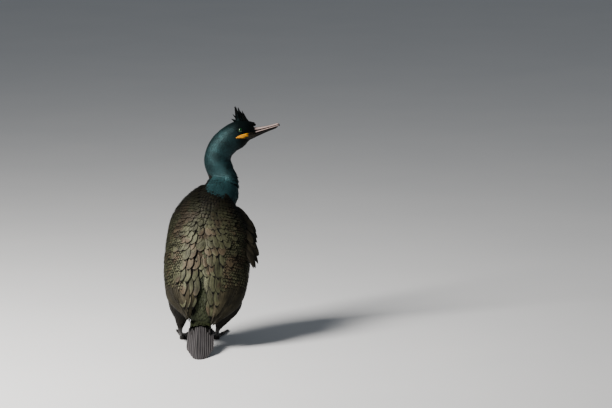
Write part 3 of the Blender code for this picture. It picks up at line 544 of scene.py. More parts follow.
def feather_mesh(name, outline, columns, camber, curve, thick, tip_from=1.0):
    """One feather of unit length along Y and unit width, closed, with its vane's own coordinates.

    columns are the shares of the half width where its upper face has points, from the shaft outwards. The
    border's mark, 1 on the outline, also rises along the vane from tip_from to the tip.
    """
    across = [-v for v in reversed(columns)] + [0.0] + list(columns)
    points, vane, edge, rows = [], [], [], []
    for u, width in outline:
        row = []
        for v in (across if width else [0.0]):
            row.append(len(points))
            points.append((0.5 * v * width, u, -camber * (v * width)**2 - curve * u * u))
            vane.append((v, u, 0.0))
            border = max(u - tip_from, 0.0) / (1.0 - tip_from) if tip_from < 1.0 else 0.0
            edge.append(1.0 if abs(v) == 1.0 or not width else border)
        rows.append(row)
    faces = []
    for row, after in zip(rows, rows[1:]):
        if len(after) == 1:
            faces += [(row[k], row[k + 1], after[0]) for k in range(len(row) - 1)]
        else:
            faces += [(row[k], row[k + 1], after[k + 1], after[k]) for k in range(len(row) - 1)]
    under = {}
    for row in rows:
        for k in {row[0], row[-1]}:
            under[k] = len(points)
            points.append((points[k][0], points[k][1], points[k][2] - thick))
            vane.append(vane[k])
            edge.append(edge[k])
    for row, after in zip(rows, rows[1:]):
        left, right, next_left, next_right = row[0], row[-1], after[0], after[-1]
        if next_left == next_right:
            faces.append((under[right], under[left], under[next_left]))
        else:
            faces.append((under[right], under[left], under[next_left], under[next_right]))
        faces.append((left, next_left, under[next_left], under[left]))
        faces.append((next_right, right, under[right], under[next_right]))
    root = rows[0]
    faces.append(tuple(reversed(root)) + (under[root[0]], under[root[-1]]))
    obj = facing_out(new_object(name, points, faces))
    attribute(obj.data, "vane", vane, "FLOAT_VECTOR")
    attribute(obj.data, "edge", edge)
    mark_rim(obj.data, {k for row in rows for k in (row[0], row[-1])})
    return obj


def mark_rim(mesh, rim):
    """Marks the edges along the feather's outline sharp, so that its faces keep their own light."""
    for edge in mesh.edges:
        if edge.vertices[0] in rim and edge.vertices[1] in rim:
            edge.use_edge_sharp = True


# Width of the patch of the bake's map that one feather takes
OFBAKE_PATCH = 0.003


def feather_tree():
    """Lays one feather on each point, turned to its lie, and writes each feather's patch of the OFBake map.
    """
    tree = bpy.data.node_groups.new("lay_feathers", "GeometryNodeTree")
    for name, kind in (("Geometry", "Geometry"), ("Feathers", "Collection"), ("Ruffle", "Float"),
                       ("Patch", "Float"), ("Seed", "Int"), ("Finish", "Material")):
        tree.interface.new_socket(name, in_out="INPUT", socket_type="NodeSocket" + kind)
    tree.interface.new_socket("Geometry", in_out="OUTPUT", socket_type="NodeSocketGeometry")
    given = add(tree, "NodeGroupInput").outputs

    def named(name, kind="FLOAT_VECTOR"):
        return add(tree, "GeometryNodeInputNamedAttribute", {"data_type": kind}, {"Name": name}).outputs[0]
    turn = add(tree, "FunctionNodeAxesToRotation", {"primary_axis": "Y", "secondary_axis": "Z"},
               {"Primary Axis": named("lie"), "Secondary Axis": named("out")})
    lowest = math_node(tree, "MULTIPLY", given["Ruffle"], -1.0)
    ruffle = add(tree, "FunctionNodeRandomValue", {"data_type": "FLOAT_VECTOR"},
                 {"Min": lowest, "Max": given["Ruffle"], "Seed": given["Seed"]})
    by = add(tree, "FunctionNodeEulerToRotation", {}, {"Euler": ruffle.outputs[0]})
    turned = add(tree, "FunctionNodeRotateRotation", {"rotation_space": "LOCAL"},
                 {"Rotation": turn.outputs[0], "Rotate By": by.outputs[0]})
    choice = add(tree, "GeometryNodeCollectionInfo", {}, {
        "Collection": given["Feathers"], "Separate Children": True, "Reset Children": True})
    laid = add(tree, "GeometryNodeInstanceOnPoints", {}, {
        "Points": given["Geometry"], "Instance": choice.outputs[0], "Pick Instance": True,
        "Instance Index": named("kind", "INT"), "Rotation": turned.outputs[0], "Scale": named("size")})
    real = add(tree, "GeometryNodeRealizeInstances", {}, {"Geometry": laid.outputs[0]})
    half = math_node(tree, "MULTIPLY", given["Patch"], 0.5)
    patch = add(tree, "ShaderNodeCombineXYZ", {}, {"X": half, "Y": given["Patch"]})
    spot = add(tree, "ShaderNodeVectorMath", {"operation": "MULTIPLY_ADD"}, {
        0: named("vane"), 1: patch.outputs[0], 2: named("unwrap")})
    baked = add(tree, "GeometryNodeStoreNamedAttribute", {"data_type": "FLOAT2", "domain": "CORNER"}, {
        "Geometry": real.outputs[0], "Name": "OFBake", "Value": spot.outputs[0]})
    finished = add(tree, "GeometryNodeSetMaterial", {}, {
        "Geometry": baked.outputs[0], "Material": given["Finish"]})
    add(tree, "NodeGroupOutput", {}, {"Geometry": finished.outputs[0]})
    return tree


def lay_coat(name, feathers, shapes, finish, ruffle, seed):
    """A coat piece: the given feathers laid by the tree and made one plain mesh."""
    obj = new_object(name, placed(feathers["point"]), [])
    mesh = obj.data
    count = len(feathers["point"])
    for key in ("lie", "out"):
        attribute(mesh, key, feathers[key], "FLOAT_VECTOR")
    size = np.stack([feathers["width"], feathers["length"], feathers["width"]], axis=1) * MM
    attribute(mesh, "size", size, "FLOAT_VECTOR")
    attribute(mesh, "unwrap", np.column_stack([feathers["unwrap"], np.zeros(count)]), "FLOAT_VECTOR")
    for key in ("shade", "length", "pale"):
        attribute(mesh, key, feathers[key])
    kinds = np.random.default_rng(seed).integers(0, len(shapes), count)
    layer = mesh.attributes.new("kind", "INT", "POINT")
    layer.data.foreach_set("value", kinds.astype(np.int32))
    group = bpy.data.collections.new(name + "_shapes")
    for shape in shapes:
        group.objects.link(shape)
    modifier = obj.modifiers.new("feathers", "NODES")
    modifier.node_group = bpy.data.node_groups.get("lay_feathers") or feather_tree()
    given = {"Feathers": group, "Ruffle": ruffle, "Patch": OFBAKE_PATCH, "Seed": seed, "Finish": finish}
    for item in modifier.node_group.interface.items_tree:
        if item.in_out == "INPUT" and item.name in given:
            modifier[item.identifier] = given[item.name]
    plain_mesh(obj)
    drop_attributes(obj.data, ["lie", "out", "size", "unwrap", "kind"])
    bpy.data.collections.remove(group)
    return obj


def remove_shapes(shapes):
    for shape in shapes:
        bpy.data.objects.remove(shape)


def lay_rows(surface, first, last, low, high, size_at, seed, row_share, side_share, loose=1.0):
    """Roots in staggered rows on surface(s, t), from s = first to last, as scales lie.

    size_at(s) gives a feather's length and width there; the shares are how far the next row and the next
    neighbour stand, in lengths and widths; loose is how far the roots stray from the rows.
    """
    draw = np.random.default_rng(seed)
    fine = np.linspace(first, last, 300)
    middle = surface(fine, np.full(300, (low + high) / 2))[0]
    walked = np.concatenate([[0.0], np.cumsum(np.linalg.norm(np.diff(middle, axis=0), axis=1))])
    s_all, t_all = [], []
    travelled, row = 0.0, 0
    while travelled < walked[-1]:
        s = float(np.interp(travelled, walked, fine))
        length, width = size_at(s)
        across = np.linspace(low, high, 60)
        line = surface(np.full(60, s), across)[0]
        reach = np.concatenate([[0.0], np.cumsum(np.linalg.norm(np.diff(line, axis=0), axis=1))])
        count = max(int(reach[-1] / (width * side_share)), 1)
        stagger = 0.25 if row % 2 else -0.25
        at = (np.arange(count) + 0.5 + stagger + draw.uniform(-0.13, 0.13, count) * loose) / count
        t_all.append(np.interp(at * reach[-1], reach, across))
        step = length * row_share
        apart = travelled + draw.uniform(-0.16, 0.16, count) * step * loose
        s_all.append(np.interp(apart, walked, fine))
        travelled += step
        row += 1
    return np.concatenate(s_all), np.concatenate(t_all)


def laid_out(surface, s, t, length, width, depth, unwrap, seed, swing=0.0, step=0.02, sunk=0.15):
    """The feathers' roots, lies and sizes on a surface, their tips raised by the coat's depth.

    A feather lies along the straight line to where it ends on the surface. swing turns the lie towards
    greater t, in degrees.
    """
    draw = np.random.default_rng(seed + 1)
    point, out = surface(s, t)
    ahead = surface(s + step, t)[0] - point
    reach = np.linalg.norm(ahead, axis=1) / step
    chord = surface(s + 0.8 * length / np.maximum(reach, 1.0), t)[0] - point
    short = (np.linalg.norm(chord, axis=1) < 0.3 * length) | ((chord * out).sum(axis=1) > 0)
    along = unit(np.where(short[:, None], ahead, chord))
    out = unit(out - along * (along * out).sum(axis=1, keepdims=True))
    beside = np.cross(out, along)
    beside *= np.sign(((surface(s, t + 0.5 * step)[0] - point) * beside).sum(axis=1, keepdims=True))
    turned = np.radians(np.broadcast_to(swing, s.shape))[:, None]
    along = along * np.cos(turned) + beside * np.sin(turned)
    length = length * draw.uniform(0.92, 1.10, len(s))
    width = width * draw.uniform(0.92, 1.08, len(s))
    return rooted(point, along, out, length, width, depth, sunk, unwrap, draw.uniform(0.0, 1.0, len(s)))


def rooted(point, along, out, length, width, depth, sunk, unwrap, shade):
    """Feathers rooted a little under these points, their tips raised by the coat's depth."""
    rise = np.arcsin(np.clip(depth * (1 + sunk) / length, -0.9, 0.9))[:, None]
    return {"point": point - out * (depth * sunk)[:, None], "lie": along * np.cos(rise) + out * np.sin(rise),
            "out": out * np.cos(rise) - along * np.sin(rise), "length": length, "width": width,
            "shade": shade, "pale": np.ones(len(point)), "unwrap": unwrap}


def body_unwrap(place, angle):
    """The place on the unwrap of the skin for a place on the body."""
    turn = (np.asarray(angle) + 180.0) / 360.0
    return np.column_stack([0.02 + 0.72 * turn, 0.02 + 0.95 * np.asarray(place) / BILL_BASE])


def chosen(feathers, keep):
    return {key: value[keep] for key, value in feathers.items()}


def skin_depth(place, angle):
    """How far the skin lies inside the solids."""
    return through(COAT_PLACES, COAT_DEPTHS, place) + hollow(place, angle)


def body_surface(s, t):
    """The skin under the coat, with s running from the bill, 0, to the tail root, 17."""
    place = np.clip(BILL_BASE - np.asarray(s, float), TAIL_ROOT, BILL_BASE)
    return skin(place, t, -skin_depth(place, np.asarray(t, float)))


def in_wing(place, angle, margin_a=0.0, margin_b=0.0):
    """Which places on the body lie under a wing."""
    a = (WING_TOP - place) / (WING_TOP - WING_END)
    back_edge, low_edge = through(WING_PLACES, WING_BACK_EDGE, a), through(WING_PLACES, WING_LOW_EDGE, a)
    b = (np.abs(angle) - back_edge) / (low_edge - back_edge)
    return (a > margin_a) & (a < 1.0) & (b > margin_b) & (b < 1.0 - margin_b)


EYE_LID_STRETCH, EYE_CLEAR = 1.12, 5.1
GAPE_OVERLAP, GAPE_FEATHERED = 1.5, 0.12


def near_head_parts(place, angle):
    """Which places on the head lie on an eye, its lid or the bare skin of the gape."""
    point = skin(place, angle)[0]
    hit = np.zeros(len(place), bool)
    for side in (-1, 1):
        centre, out, forward, up = eye_frame(side)
        apart = point - centre
        near = np.hypot(apart @ forward / EYE_LID_STRETCH, apart @ up) < EYE_CLEAR
        hit |= near & (apart @ out > -EYE_RADIUS)
    turned = np.abs(angle)
    top, low = through(GAPE_PLACES, GAPE_TOPS, place), through(GAPE_PLACES, GAPE_LOWS, place)
    inside = (turned > top + GAPE_OVERLAP) & (turned < low - GAPE_OVERLAP)
    return hit | (inside & (place > GAPE_PLACES[0] + GAPE_FEATHERED))


# The skin under the coat

SKIN_RINGS, SKIN_SIDES = 150, 72
SKIN_VOXEL = 0.0022
THIGH_COAT, WING_COAT = 2.4, 2.0
TAIL_FLESH_HEIGHT, TAIL_FLESH_FRONT = 2.6, (-22.0, 18.0, 6.0, 6.0)
WING_ROWS, WING_COLUMNS = 34, 18


def body_rings(name):
    """Body, neck and head, as far inside the solids as the coat is deep."""
    places = np.linspace(TAIL_ROOT, BILL_BASE, SKIN_RINGS)
    angles = np.arange(SKIN_SIDES) * 360.0 / SKIN_SIDES - 180.0
    rings = []
    for place in places:
        here = np.full(SKIN_SIDES, place)
        rings.append(placed(section_point(here, angles, -skin_depth(here, angles))))
    return closed_rings(name, rings)


def thigh_depth(share):
    """How deep the coat is on a thigh, from the hip, 0, to the ankle, 1."""
    return THIGH_COAT * (1.0 - 0.7 * share)


def thigh_rings(name, side):
    """One thigh, as far inside the solids as the coat is deep."""
    angles = np.arange(32) * 360.0 / 32
    rings = [placed(thigh_surface(side, np.full(32, share), angles, -thigh_depth(share))[0])
             for share in np.linspace(0.0, 1.0, 20)]
    return closed_rings(name, rings)


def wing_mass(name, side):
    """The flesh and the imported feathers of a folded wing, under the vanes that show."""
    b = np.linspace(0.0, 1.0, WING_COLUMNS)
    rings = []
    for a in np.linspace(0.0, 1.0, WING_ROWS):
        along = np.full(WING_COLUMNS, a)
        point, out = wing_surface(side, along, b)
        under = skin(*wing_place(side, along, b))[0]
        rise = ((point - under) * out).sum(axis=1)
        taper = min(1.0, (1.0 - a) / 0.25 + 0.15)
        outer = placed(under + out * (rise * taper - WING_COAT)[:, None])
        inner = placed(under - out * WING_SUNK * 1.6)
        rings.append(np.concatenate([outer, inner[::-1]]))
    return closed_rings(name, rings)


def tail_mass(name):
    """The flesh at the root of the tail."""
    along, right, up = tail_axes()
    root = station(TAIL_ROOT)[0, :3]
    turns = np.radians(np.arange(28) * 360.0 / 28)
    rings = []
    for distance, half, over, under in [TAIL_FLESH_FRONT] + TAIL_CORE[:4]:
        high = np.where(np.cos(turns) > 0, min(over, TAIL_FLESH_HEIGHT), under - 2.2)
        rings.append(placed(root + along * distance + np.outer(np.sin(turns), right * (half * 0.8))
                            + np.outer(np.cos(turns) * high, up)))
    return closed_rings(name, rings)


def fused(parts, voxel, smoothing):
    """One closed mesh without seams from parts that overlap."""
    whole = joined(parts)
    remesh = whole.modifiers.new("one_skin", "REMESH")
    remesh.mode = "VOXEL"
    remesh.voxel_size = voxel
    remesh.use_smooth_shade = True
    smooth = whole.modifiers.new("soft", "SMOOTH")
    smooth.iterations = smoothing
    return plain_mesh(whole)


def make_skin(finish):
    """One closed skin over body, thighs, wings and tail root, with no seam between them."""
    parts = [body_rings("skin"), tail_mass("tail_flesh")]
    for side in (-1, 1):
        parts += [thigh_rings("thigh_flesh", side), wing_mass("wing_flesh", side)]
    whole = fused(parts, SKIN_VOXEL, 8)
    return finish_piece(whole, finish, [
        "torso", "neck_lower", "neck_upper", "head", "thigh_left", "thigh_right"])


# The coat

FEATHER_PLACES = [0.0, 2.0, 4.0, 6.0, 7.5, 8.5, 10.0, 13.0, 14.5, 16.0, 17.0]
FEATHER_LENGTHS = [24.0, 22.0, 20.0, 17.0, 12.5, 11.5, 10.5, 9.5, 6.8, 5.0, 3.8]
FEATHER_WIDTHS = [9.0, 8.5, 8.0, 7.0, 3.6, 2.9, 2.5, 2.3, 1.8, 1.4, 1.2]
MANTLE_LENGTHS = [34.0, 34.0, 30.0, 15.5, 9.5, 8.5, 8.0, 8.0, 8.0, 8.0, 8.0]
MANTLE_WIDTHS = [18.0, 18.0, 17.0, 9.8, 5.8, 4.8, 4.6, 4.6, 4.6, 4.6, 4.6]


def scatter(surface, bounds, size_at, depth_at, seed, shares, unwrap, swing=None):
    """Feathers in rows on a surface, and the places of their roots on it."""
    s, t = lay_rows(surface, *bounds, size_at, seed, *shares)
    length, width = size_at(s)
    turned = swing(s, t) if swing else 0.0
    return laid_out(surface, s, t, length, width, depth_at(s), unwrap(s, t), seed, turned), s, t


def by_place(places, lengths, widths):
    """Lengths and widths of feathers that change along the body."""
    def size_at(s):
        place = BILL_BASE - np.asarray(s, float)
        return through(places, lengths, place), through(places, widths, place)
    return size_at


def depth_of_coat(s):
    return through(COAT_PLACES, COAT_DEPTHS, BILL_BASE - np.asarray(s, float))


def body_feathers(first, last, lengths, widths, seed, shares, swing=None):
    """Feathers all round a length of the body, from the place nearer the bill to the one nearer the tail."""
    size_at = by_place(FEATHER_PLACES, lengths, widths)
    feathers, s, t = scatter(body_surface, (BILL_BASE - first, BILL_BASE - last, -180.0, 180.0), size_at,
                             depth_of_coat, seed, shares, lambda s, t: body_unwrap(BILL_BASE - s, t), swing)
    place = BILL_BASE - s
    on = open_skin(place, t)
    if on.all():
        return feathers, place, t
    more, near = fold_feathers(feathers, place, on)
    return merged(chosen(feathers, on), more), np.append(place[on], place[near]), np.append(t[on], t[near])


# How near a lost root these feathers grow, how far back they are rooted and how far raised, in millimetres
FOLD_REACH, FOLD_BACK, FOLD_RAISED = 9.0, 3.5, 0.5
FOLD_LARGER, FOLD_CLOSER = 1.15, 0.8


def fold_feathers(feathers, place, on):
    """Feathers on the skin of a fold, where the rows run into each other, and the roots they are nearest."""
    every, lost = KDTree(len(place)), KDTree(len(place))
    for i, point in enumerate(placed(feathers["point"])):
        every.insert(point, i)
        if not on[i]:
            lost.insert(point, i)
    every.balance()
    lost.balance()
    points, outs, near = [], [], []
    for vertex in bpy.data.objects["skin"].data.vertices:
        if lost.find(vertex.co)[2] < FOLD_REACH * MM:
            points.append(tuple(vertex.co))
            outs.append(tuple(vertex.normal))
            near.append(every.find(vertex.co)[1])
    near = np.array(near, int)
    outs = unit(np.array(outs).reshape(-1, 3))
    ahead = spine_axes(place[near])[0]
    along = unit(outs * (ahead * outs).sum(axis=1, keepdims=True) - ahead)
    depth = depth_of_coat(BILL_BASE - place[near])
    roots = np.array(points).reshape(-1, 3) / MM - SHIFT - along * FOLD_BACK + outs * FOLD_RAISED
    length, width = (feathers[key][near] * FOLD_LARGER for key in ("length", "width"))
    return rooted(roots, along, outs, length, width, depth * FOLD_CLOSER, 0.15, feathers["unwrap"][near],
                  feathers["shade"][near]), near


# How many millimetres a tenth of a station moves the skin ahead where it isn't folded
OPEN_STEP = 0.5


def open_skin(place, angle):
    """Which places do not lie in the fold on the inside of one of the neck's bends."""
    step = section_point(np.minimum(place + 0.05, BILL_BASE), angle) - section_point(place - 0.05, angle)
    return (step * spine_axes(place)[0]).sum(axis=1) > OPEN_STEP


MANTLE_SWING, SWING_ANGLE = 24.0, 24.0


def outward_swing(s, t):
    """How far the mantle's feathers turn from the middle of the back."""
    return MANTLE_SWING * np.clip(np.asarray(t) / SWING_ANGLE, -1.0, 1.0)


def wing_unwrap(side):
    """The unwrap of the skin for feathers on a wing."""
    def unwrap(a, b):
        place, angle = wing_place(side, a, b)
        return body_unwrap(place, angle)
    return unwrap


# How pale the wing's feathers are along it, and where the groove along its back edge has none
WING_PALE_PLACES, WING_PALE = [-0.05, 0.10, 0.25, 0.38, 1.0], [0.05, 0.15, 0.55, 1.0, 1.0]
GROOVE_START = 0.64


def wing_feathers(side, bounds, places, lengths, widths, swings, depth, seed, shares):
    """Feathers of one kind on a stretch of a wing, turned outwards by the swings."""
    def surface(a, b):
        point, out = wing_surface(side, a, b)
        return point - out * WING_COAT, out

    def size_at(a):
        return through(places, lengths, a), through(places, widths, a)

    def depth_at(a):
        return np.full(np.shape(a), depth)
    feathers, a, b = scatter(surface, bounds, size_at, depth_at, seed, shares, wing_unwrap(side),
                             lambda a, b: through(places, swings, a))
    feathers["pale"] = through(WING_PALE_PLACES, WING_PALE, a)
    return chosen(feathers, (b > 0.02) | (a < GROOVE_START))


def merged(*groups):
    return {key: np.concatenate([group[key] for group in groups]) for key in groups[0]}


COLLAR_ANGLES = [-180.0, -90.0, -62.0, -48.0, -34.0, -18.0, 0.0, 16.0, 34.0, 50.0, 72.0, 105.0, 180.0]
COLLAR_PLACES = [8.90, 9.10, 9.05, 8.75, 8.05, 7.60, 7.40, 7.44, 7.56, 7.70, 7.85, 8.05, 8.90]


def collar(angle):
    """The place on the spine where the neck's feathers end, for angles round it."""
    return through(COLLAR_ANGLES, COLLAR_PLACES, angle)


FACE_PALE_PLACES, FACE_PALE = [13.0, 14.0, 14.8, 17.0], [1.0, 0.5, 0.14, 0.06]


def face_paleness(place, angle):
    """Full gloss on the nape, fading to black on the face, the crown and the throat."""
    ahead = through(FACE_PALE_PLACES, FACE_PALE, place)
    below = np.clip((np.abs(angle) - 95.0) / 60.0, 0.0, 1.0)
    return ahead * (1.0 - 0.6 * below)


# Places on the spine where the coats begin and end, and over which the neck is painted paler towards its
# foot, a painted sheen
COAT_FRONT, NECK_MIDDLE, TORSO_FRONT, NECK_END = 16.98, 11.0, 9.2, 7.1
NECK_PAINTED_SHEEN_START, NECK_PAINTED_SHEEN_REACH = 9.4, 1.2
MANTLE_PALE_PLACES, MANTLE_PALE = [4.6, 5.2, 5.8, 6.7, 7.6], [0.8, 0.8, 0.5, 0.15, 0.05]
MANTLE_ANGLE, RUMP_TOP = 72.0, 4.6


def make_body_coat(finishes):
    """The feathers of head, neck, mantle, rump and underside."""
    soft = [feather_mesh("soft_%d" % k, SOFT_OUTLINE, (1.0,), 0.14 + 0.04 * k, 0.08, 0.06)
            for k in range(3)]
    scaly = [feather_mesh("scale_%d" % k, SCALE_OUTLINE, (0.5, 1.0), 0.06 + 0.03 * k, 0.08, 0.03, 0.60)
             for k in range(3)]
    head, place, angle = body_feathers(COAT_FRONT, HEAD_START, FEATHER_LENGTHS, FEATHER_WIDTHS, 11,
                                       (0.28, 0.60))
    head["pale"] = face_paleness(place, angle)
    head = chosen(head, ~near_head_parts(place, angle))
    neck, place, angle = body_feathers(HEAD_START, NECK_END, FEATHER_LENGTHS, FEATHER_WIDTHS, 12,
                                       (0.26, 0.58))
    # Towards the neck's foot the feathers' tone is painted up to 2.3 times paler: a painted sheen on the
    # lower neck
    foot = np.clip((NECK_PAINTED_SHEEN_START - place) / NECK_PAINTED_SHEEN_REACH, 0.0, 1.0)
    neck["pale"] = face_paleness(place, angle) * (1.0 + 1.3 * foot)
    upper = chosen(neck, place > NECK_MIDDLE)
    lower = chosen(neck, (place <= NECK_MIDDLE) & (place > collar(angle) - 0.12))
    torso, place, angle = body_feathers(TORSO_FRONT, TAIL_ROOT, FEATHER_LENGTHS, FEATHER_WIDTHS, 13,
                                        (0.30, 0.62))
    back_side = np.abs(angle) < MANTLE_ANGLE
    hidden = in_wing(place, angle, 0.03, 0.06)
    under = chosen(torso, ~back_side & ~hidden & (place < collar(angle)))
    rump = chosen(torso, back_side & ~hidden & (place < RUMP_TOP))
    mantle, place, angle = body_feathers(TORSO_FRONT, RUMP_TOP, MANTLE_LENGTHS, MANTLE_WIDTHS, 14,
                                         (0.46, 0.74), outward_swing)
    mantle["pale"] = through(MANTLE_PALE_PLACES, MANTLE_PALE, place)
    mantle = chosen(mantle, (np.abs(angle) < MANTLE_ANGLE) & ~in_wing(place, angle, 0.05, 0.10)
                    & (place < collar(angle)))
    coats = (
        ("head_feathers", head, soft, "neck", 0.035, "neck_plumage"),
        ("neck_feathers_upper", upper, soft, "neck", 0.02, "neck_plumage"),
        ("neck_feathers_lower", lower, soft, "neck", 0.025, "neck_plumage"),
        ("mantle_feathers", mantle, scaly, "scaly", 0.07, "plumage"),
        ("rump_feathers", rump, soft, "rump", 0.06, "plumage"),
        ("underside_feathers", under, soft, "under", 0.06, "plumage"))
    for seed, (name, feathers, shapes, finish, ruffle, slot) in enumerate(coats, 1):
        finish_piece(lay_coat(name, feathers, shapes, finishes[finish], ruffle, seed), None)
    remove_shapes(soft + scaly)


def make_thigh_coat(finish):
    """The short feathers of both thighs."""
    soft = [feather_mesh("soft", SOFT_OUTLINE, (1.0,), 0.14, 0.10, 0.06)]
    groups = []
    for side in (-1, 1):
        def surface(s, t, side=side):
            share = np.clip(s, 0.0, 1.0)
            return thigh_surface(side, share, t, -thigh_depth(share))

        def size_at(s):
            return 16.0 - 9.0 * np.asarray(s), 6.4 - 3.6 * np.asarray(s)

        def unwrap(s, t, side=side):
            down = 0.02 + 0.28 * s + (0.32 if side > 0 else 0.0)
            return np.column_stack([0.78 + 0.2 * (t + 180) / 360, down])
        bounds = (0.16, 0.97, -180.0, 180.0)
        groups.append(scatter(surface, bounds, size_at, thigh_depth, 31 + side, (0.28, 0.62), unwrap)[0])
    piece = lay_coat("thigh_feathers", merged(*groups), soft, finish, 0.06, 6)
    remove_shapes(soft)
    return finish_piece(piece, None)


def make_wing_coat(side, word, finish):
    """The scaly scapulars and the small coverts of one wing."""
    small = [feather_mesh("scale_%d" % k, SCALE_OUTLINE, (0.5, 1.0), 0.06 + 0.02 * k, 0.06, 0.025, 0.60)
             for k in range(3)]
    large = [feather_mesh("scapular_%d" % k, SCAPULAR_OUTLINE, (0.4, 0.78, 1.0), 0.025 + 0.015 * k, 0.02,
                          0.02, 0.80) for k in range(3)]
    coverts = wing_feathers(
        side, (-0.03, 0.76, 0.22, 1.02), [0.0, 0.3, 0.6, 0.75], [9.0, 11.0, 13.0, 16.0],
        [5.4, 6.4, 7.4, 8.4], [14.0, 10.0, 4.0, 0.0], 2.9, 40 + side, (0.46, 0.74))
    scapulars = wing_feathers(
        side, (-0.04, 0.84, -0.07, 0.34), [0.0, 0.12, 0.28, 0.45, 0.62, 0.80],
        [10.0, 13.0, 22.0, 39.0, 56.0, 66.0], [6.2, 8.6, 13.4, 20.0, 22.0, 23.0],
        [26.0, 28.0, 24.0, 12.0, 0.0, -5.0], 3.4, 50 + side, (0.44, 0.60, 0.45))
    for name, feathers, shapes in (("wing_coverts_", coverts, small), ("scapulars_", scapulars, large)):
        finish_piece(lay_coat(name + word, feathers, shapes, finish, 0.05, 7), None)
        remove_shapes(shapes)


# Long feathers that bend with the wing

def long_vane(spot, outline, columns, thick, pale):
    """A long closed feather over spot(u, v), with its vane's own coordinates and rim."""
    across = [-v for v in reversed(columns)] + [0.0] + list(columns)
    u = np.repeat([row[0] for row in outline], len(across))
    width = np.repeat([max(row[1], 0.02) for row in outline], len(across))
    v = np.tile(across, len(outline))
    point, out = spot(u, v * width)
    top = point + out * (thick * 0.5)
    under = point - out * (thick * 0.5)
    rows, count = len(outline), len(u)
    faces = grid_faces(rows, len(across))
    faces += [tuple(count + k for k in reversed(face)) for face in grid_faces(rows, len(across))]
    wide = len(across)
    rim = list(range(wide)) + [i * wide + wide - 1 for i in range(1, rows)]
    rim += list(reversed(range((rows - 1) * wide, rows * wide - 1)))
    rim += [i * wide for i in reversed(range(1, rows - 1))]
    for a, b in zip(rim, rim[1:] + rim[:1]):
        faces.append((b, a, count + a, count + b))
    edge = np.where((np.abs(v) == 1.0) | (u > 0.985), 1.0, 0.0)
    vane = np.column_stack([v, u, np.zeros(count)])
    return {"point": np.concatenate([top, under]), "faces": faces, "vane": np.concatenate([vane, vane]),
            "edge": np.concatenate([edge, edge]), "rim": set(rim), "pale": pale}


def join_vanes(name, vanes, lengths, unwraps, seed):
    """One mesh from many long vanes, with the attributes and the map that the small feathers have."""
    draw = np.random.default_rng(seed)
    points, faces, vane, edge, shade, pale, length, spot = [], [], [], [], [], [], [], []
    rims, start = set(), 0
    for made, long, unwrap in zip(vanes, lengths, unwraps):
        count = len(made["point"])
        points.append(placed(made["point"]))
        faces += [tuple(start + k for k in face) for face in made["faces"]]
        rims |= {start + k for k in made["rim"]} | {start + count // 2 + k for k in made["rim"]}
        vane.append(made["vane"])
        edge.append(made["edge"])
        shade.append(np.full(count, draw.uniform()))
        pale.append(np.full(count, made["pale"]))
        length.append(np.full(count, long))
        spot.append(np.asarray(unwrap) + made["vane"][:, :2] * (OFBAKE_PATCH * 0.5, OFBAKE_PATCH))
        start += count
    obj = facing_out(new_object(name, np.concatenate(points), faces))
    mesh = obj.data
    attribute(mesh, "vane", np.concatenate(vane), "FLOAT_VECTOR")
    for key, values in (("edge", edge), ("shade", shade), ("pale", pale), ("length", length)):
        attribute(mesh, key, np.concatenate(values))
    spot = np.concatenate(spot)
    corners = np.zeros(len(mesh.loops), np.int32)
    mesh.loops.foreach_get("vertex_index", corners)
    mesh.uv_layers.new(name="OFBake").data.foreach_set("uv", spot[corners].astype(np.float32).ravel())
    mark_rim(mesh, rims)
    return obj


LONG_OUTLINE = [(0.0, 0.5), (0.08, 0.68), (0.2, 0.86), (0.35, 0.97), (0.5, 1.0), (0.65, 0.97), (0.78, 0.88),
                (0.88, 0.70), (0.95, 0.44), (0.985, 0.22), (1.0, 0.0)]
# Tiers of long feathers on each wing: place of the roots along it, the stretch across it that they share,
# how many, length, how far the tips rise, how much wider than its slot each is, and how pale
LONG_TIERS = [
    (0.84, 0.16, 0.92, 9, 70.0, -1.2, 1.5, 0.40), (0.76, 0.40, 0.99, 13, 66.0, -0.6, 1.5, 0.50),
    (0.68, 0.34, 1.00, 16, 56.0, 0.0, 1.45, 0.55), (0.74, 0.05, 0.36, 3, 76.0, 1.4, 1.5, 1.0),
]
# How far a long feather's outer edge stands off the one under it, and how deep its root is, in millimetres
LONG_TILT, LONG_SUNK = 0.55, 3.2


def long_tiers(side):
    """The quills and the greater coverts of a wing, tier by tier."""
    vanes, lengths, unwraps = [], [], []
    for root, first, last, count, length, lift, broad, pale in LONG_TIERS:
        half = (last - first) / count / 2
        for k in range(count):
            vary = math.sin(3.7 * k + 11.0 * root + side)
            a, b = root + 0.010 * vary, first + half * (2 * k + 1)
            long = length * (1 + 0.05 * vary)

            def spot(u, v, a=a, b=b, long=long, k=k):
                point, out = wing_surface(side, a + long * u / WING_LENGTH, b + v * half * broad)
                over = LONG_TILT * v * (1.0 if b > 0.5 else -1.0)
                rise = -LONG_SUNK + (lift + LONG_SUNK) * np.minimum(u * 2.2, 1.0) + over + 0.3 * (1 - v * v)
                return point + out * rise[:, None], out
            vanes.append(long_vane(spot, LONG_OUTLINE, (0.35, 0.8, 0.93, 1.0), 0.45, pale))
            lengths.append(long)
            place, angle = wing_place(side, np.array([min(a, 1.0)]), np.array([b]))
            unwraps.append(body_unwrap(place, angle)[0])
    return vanes, lengths, unwraps


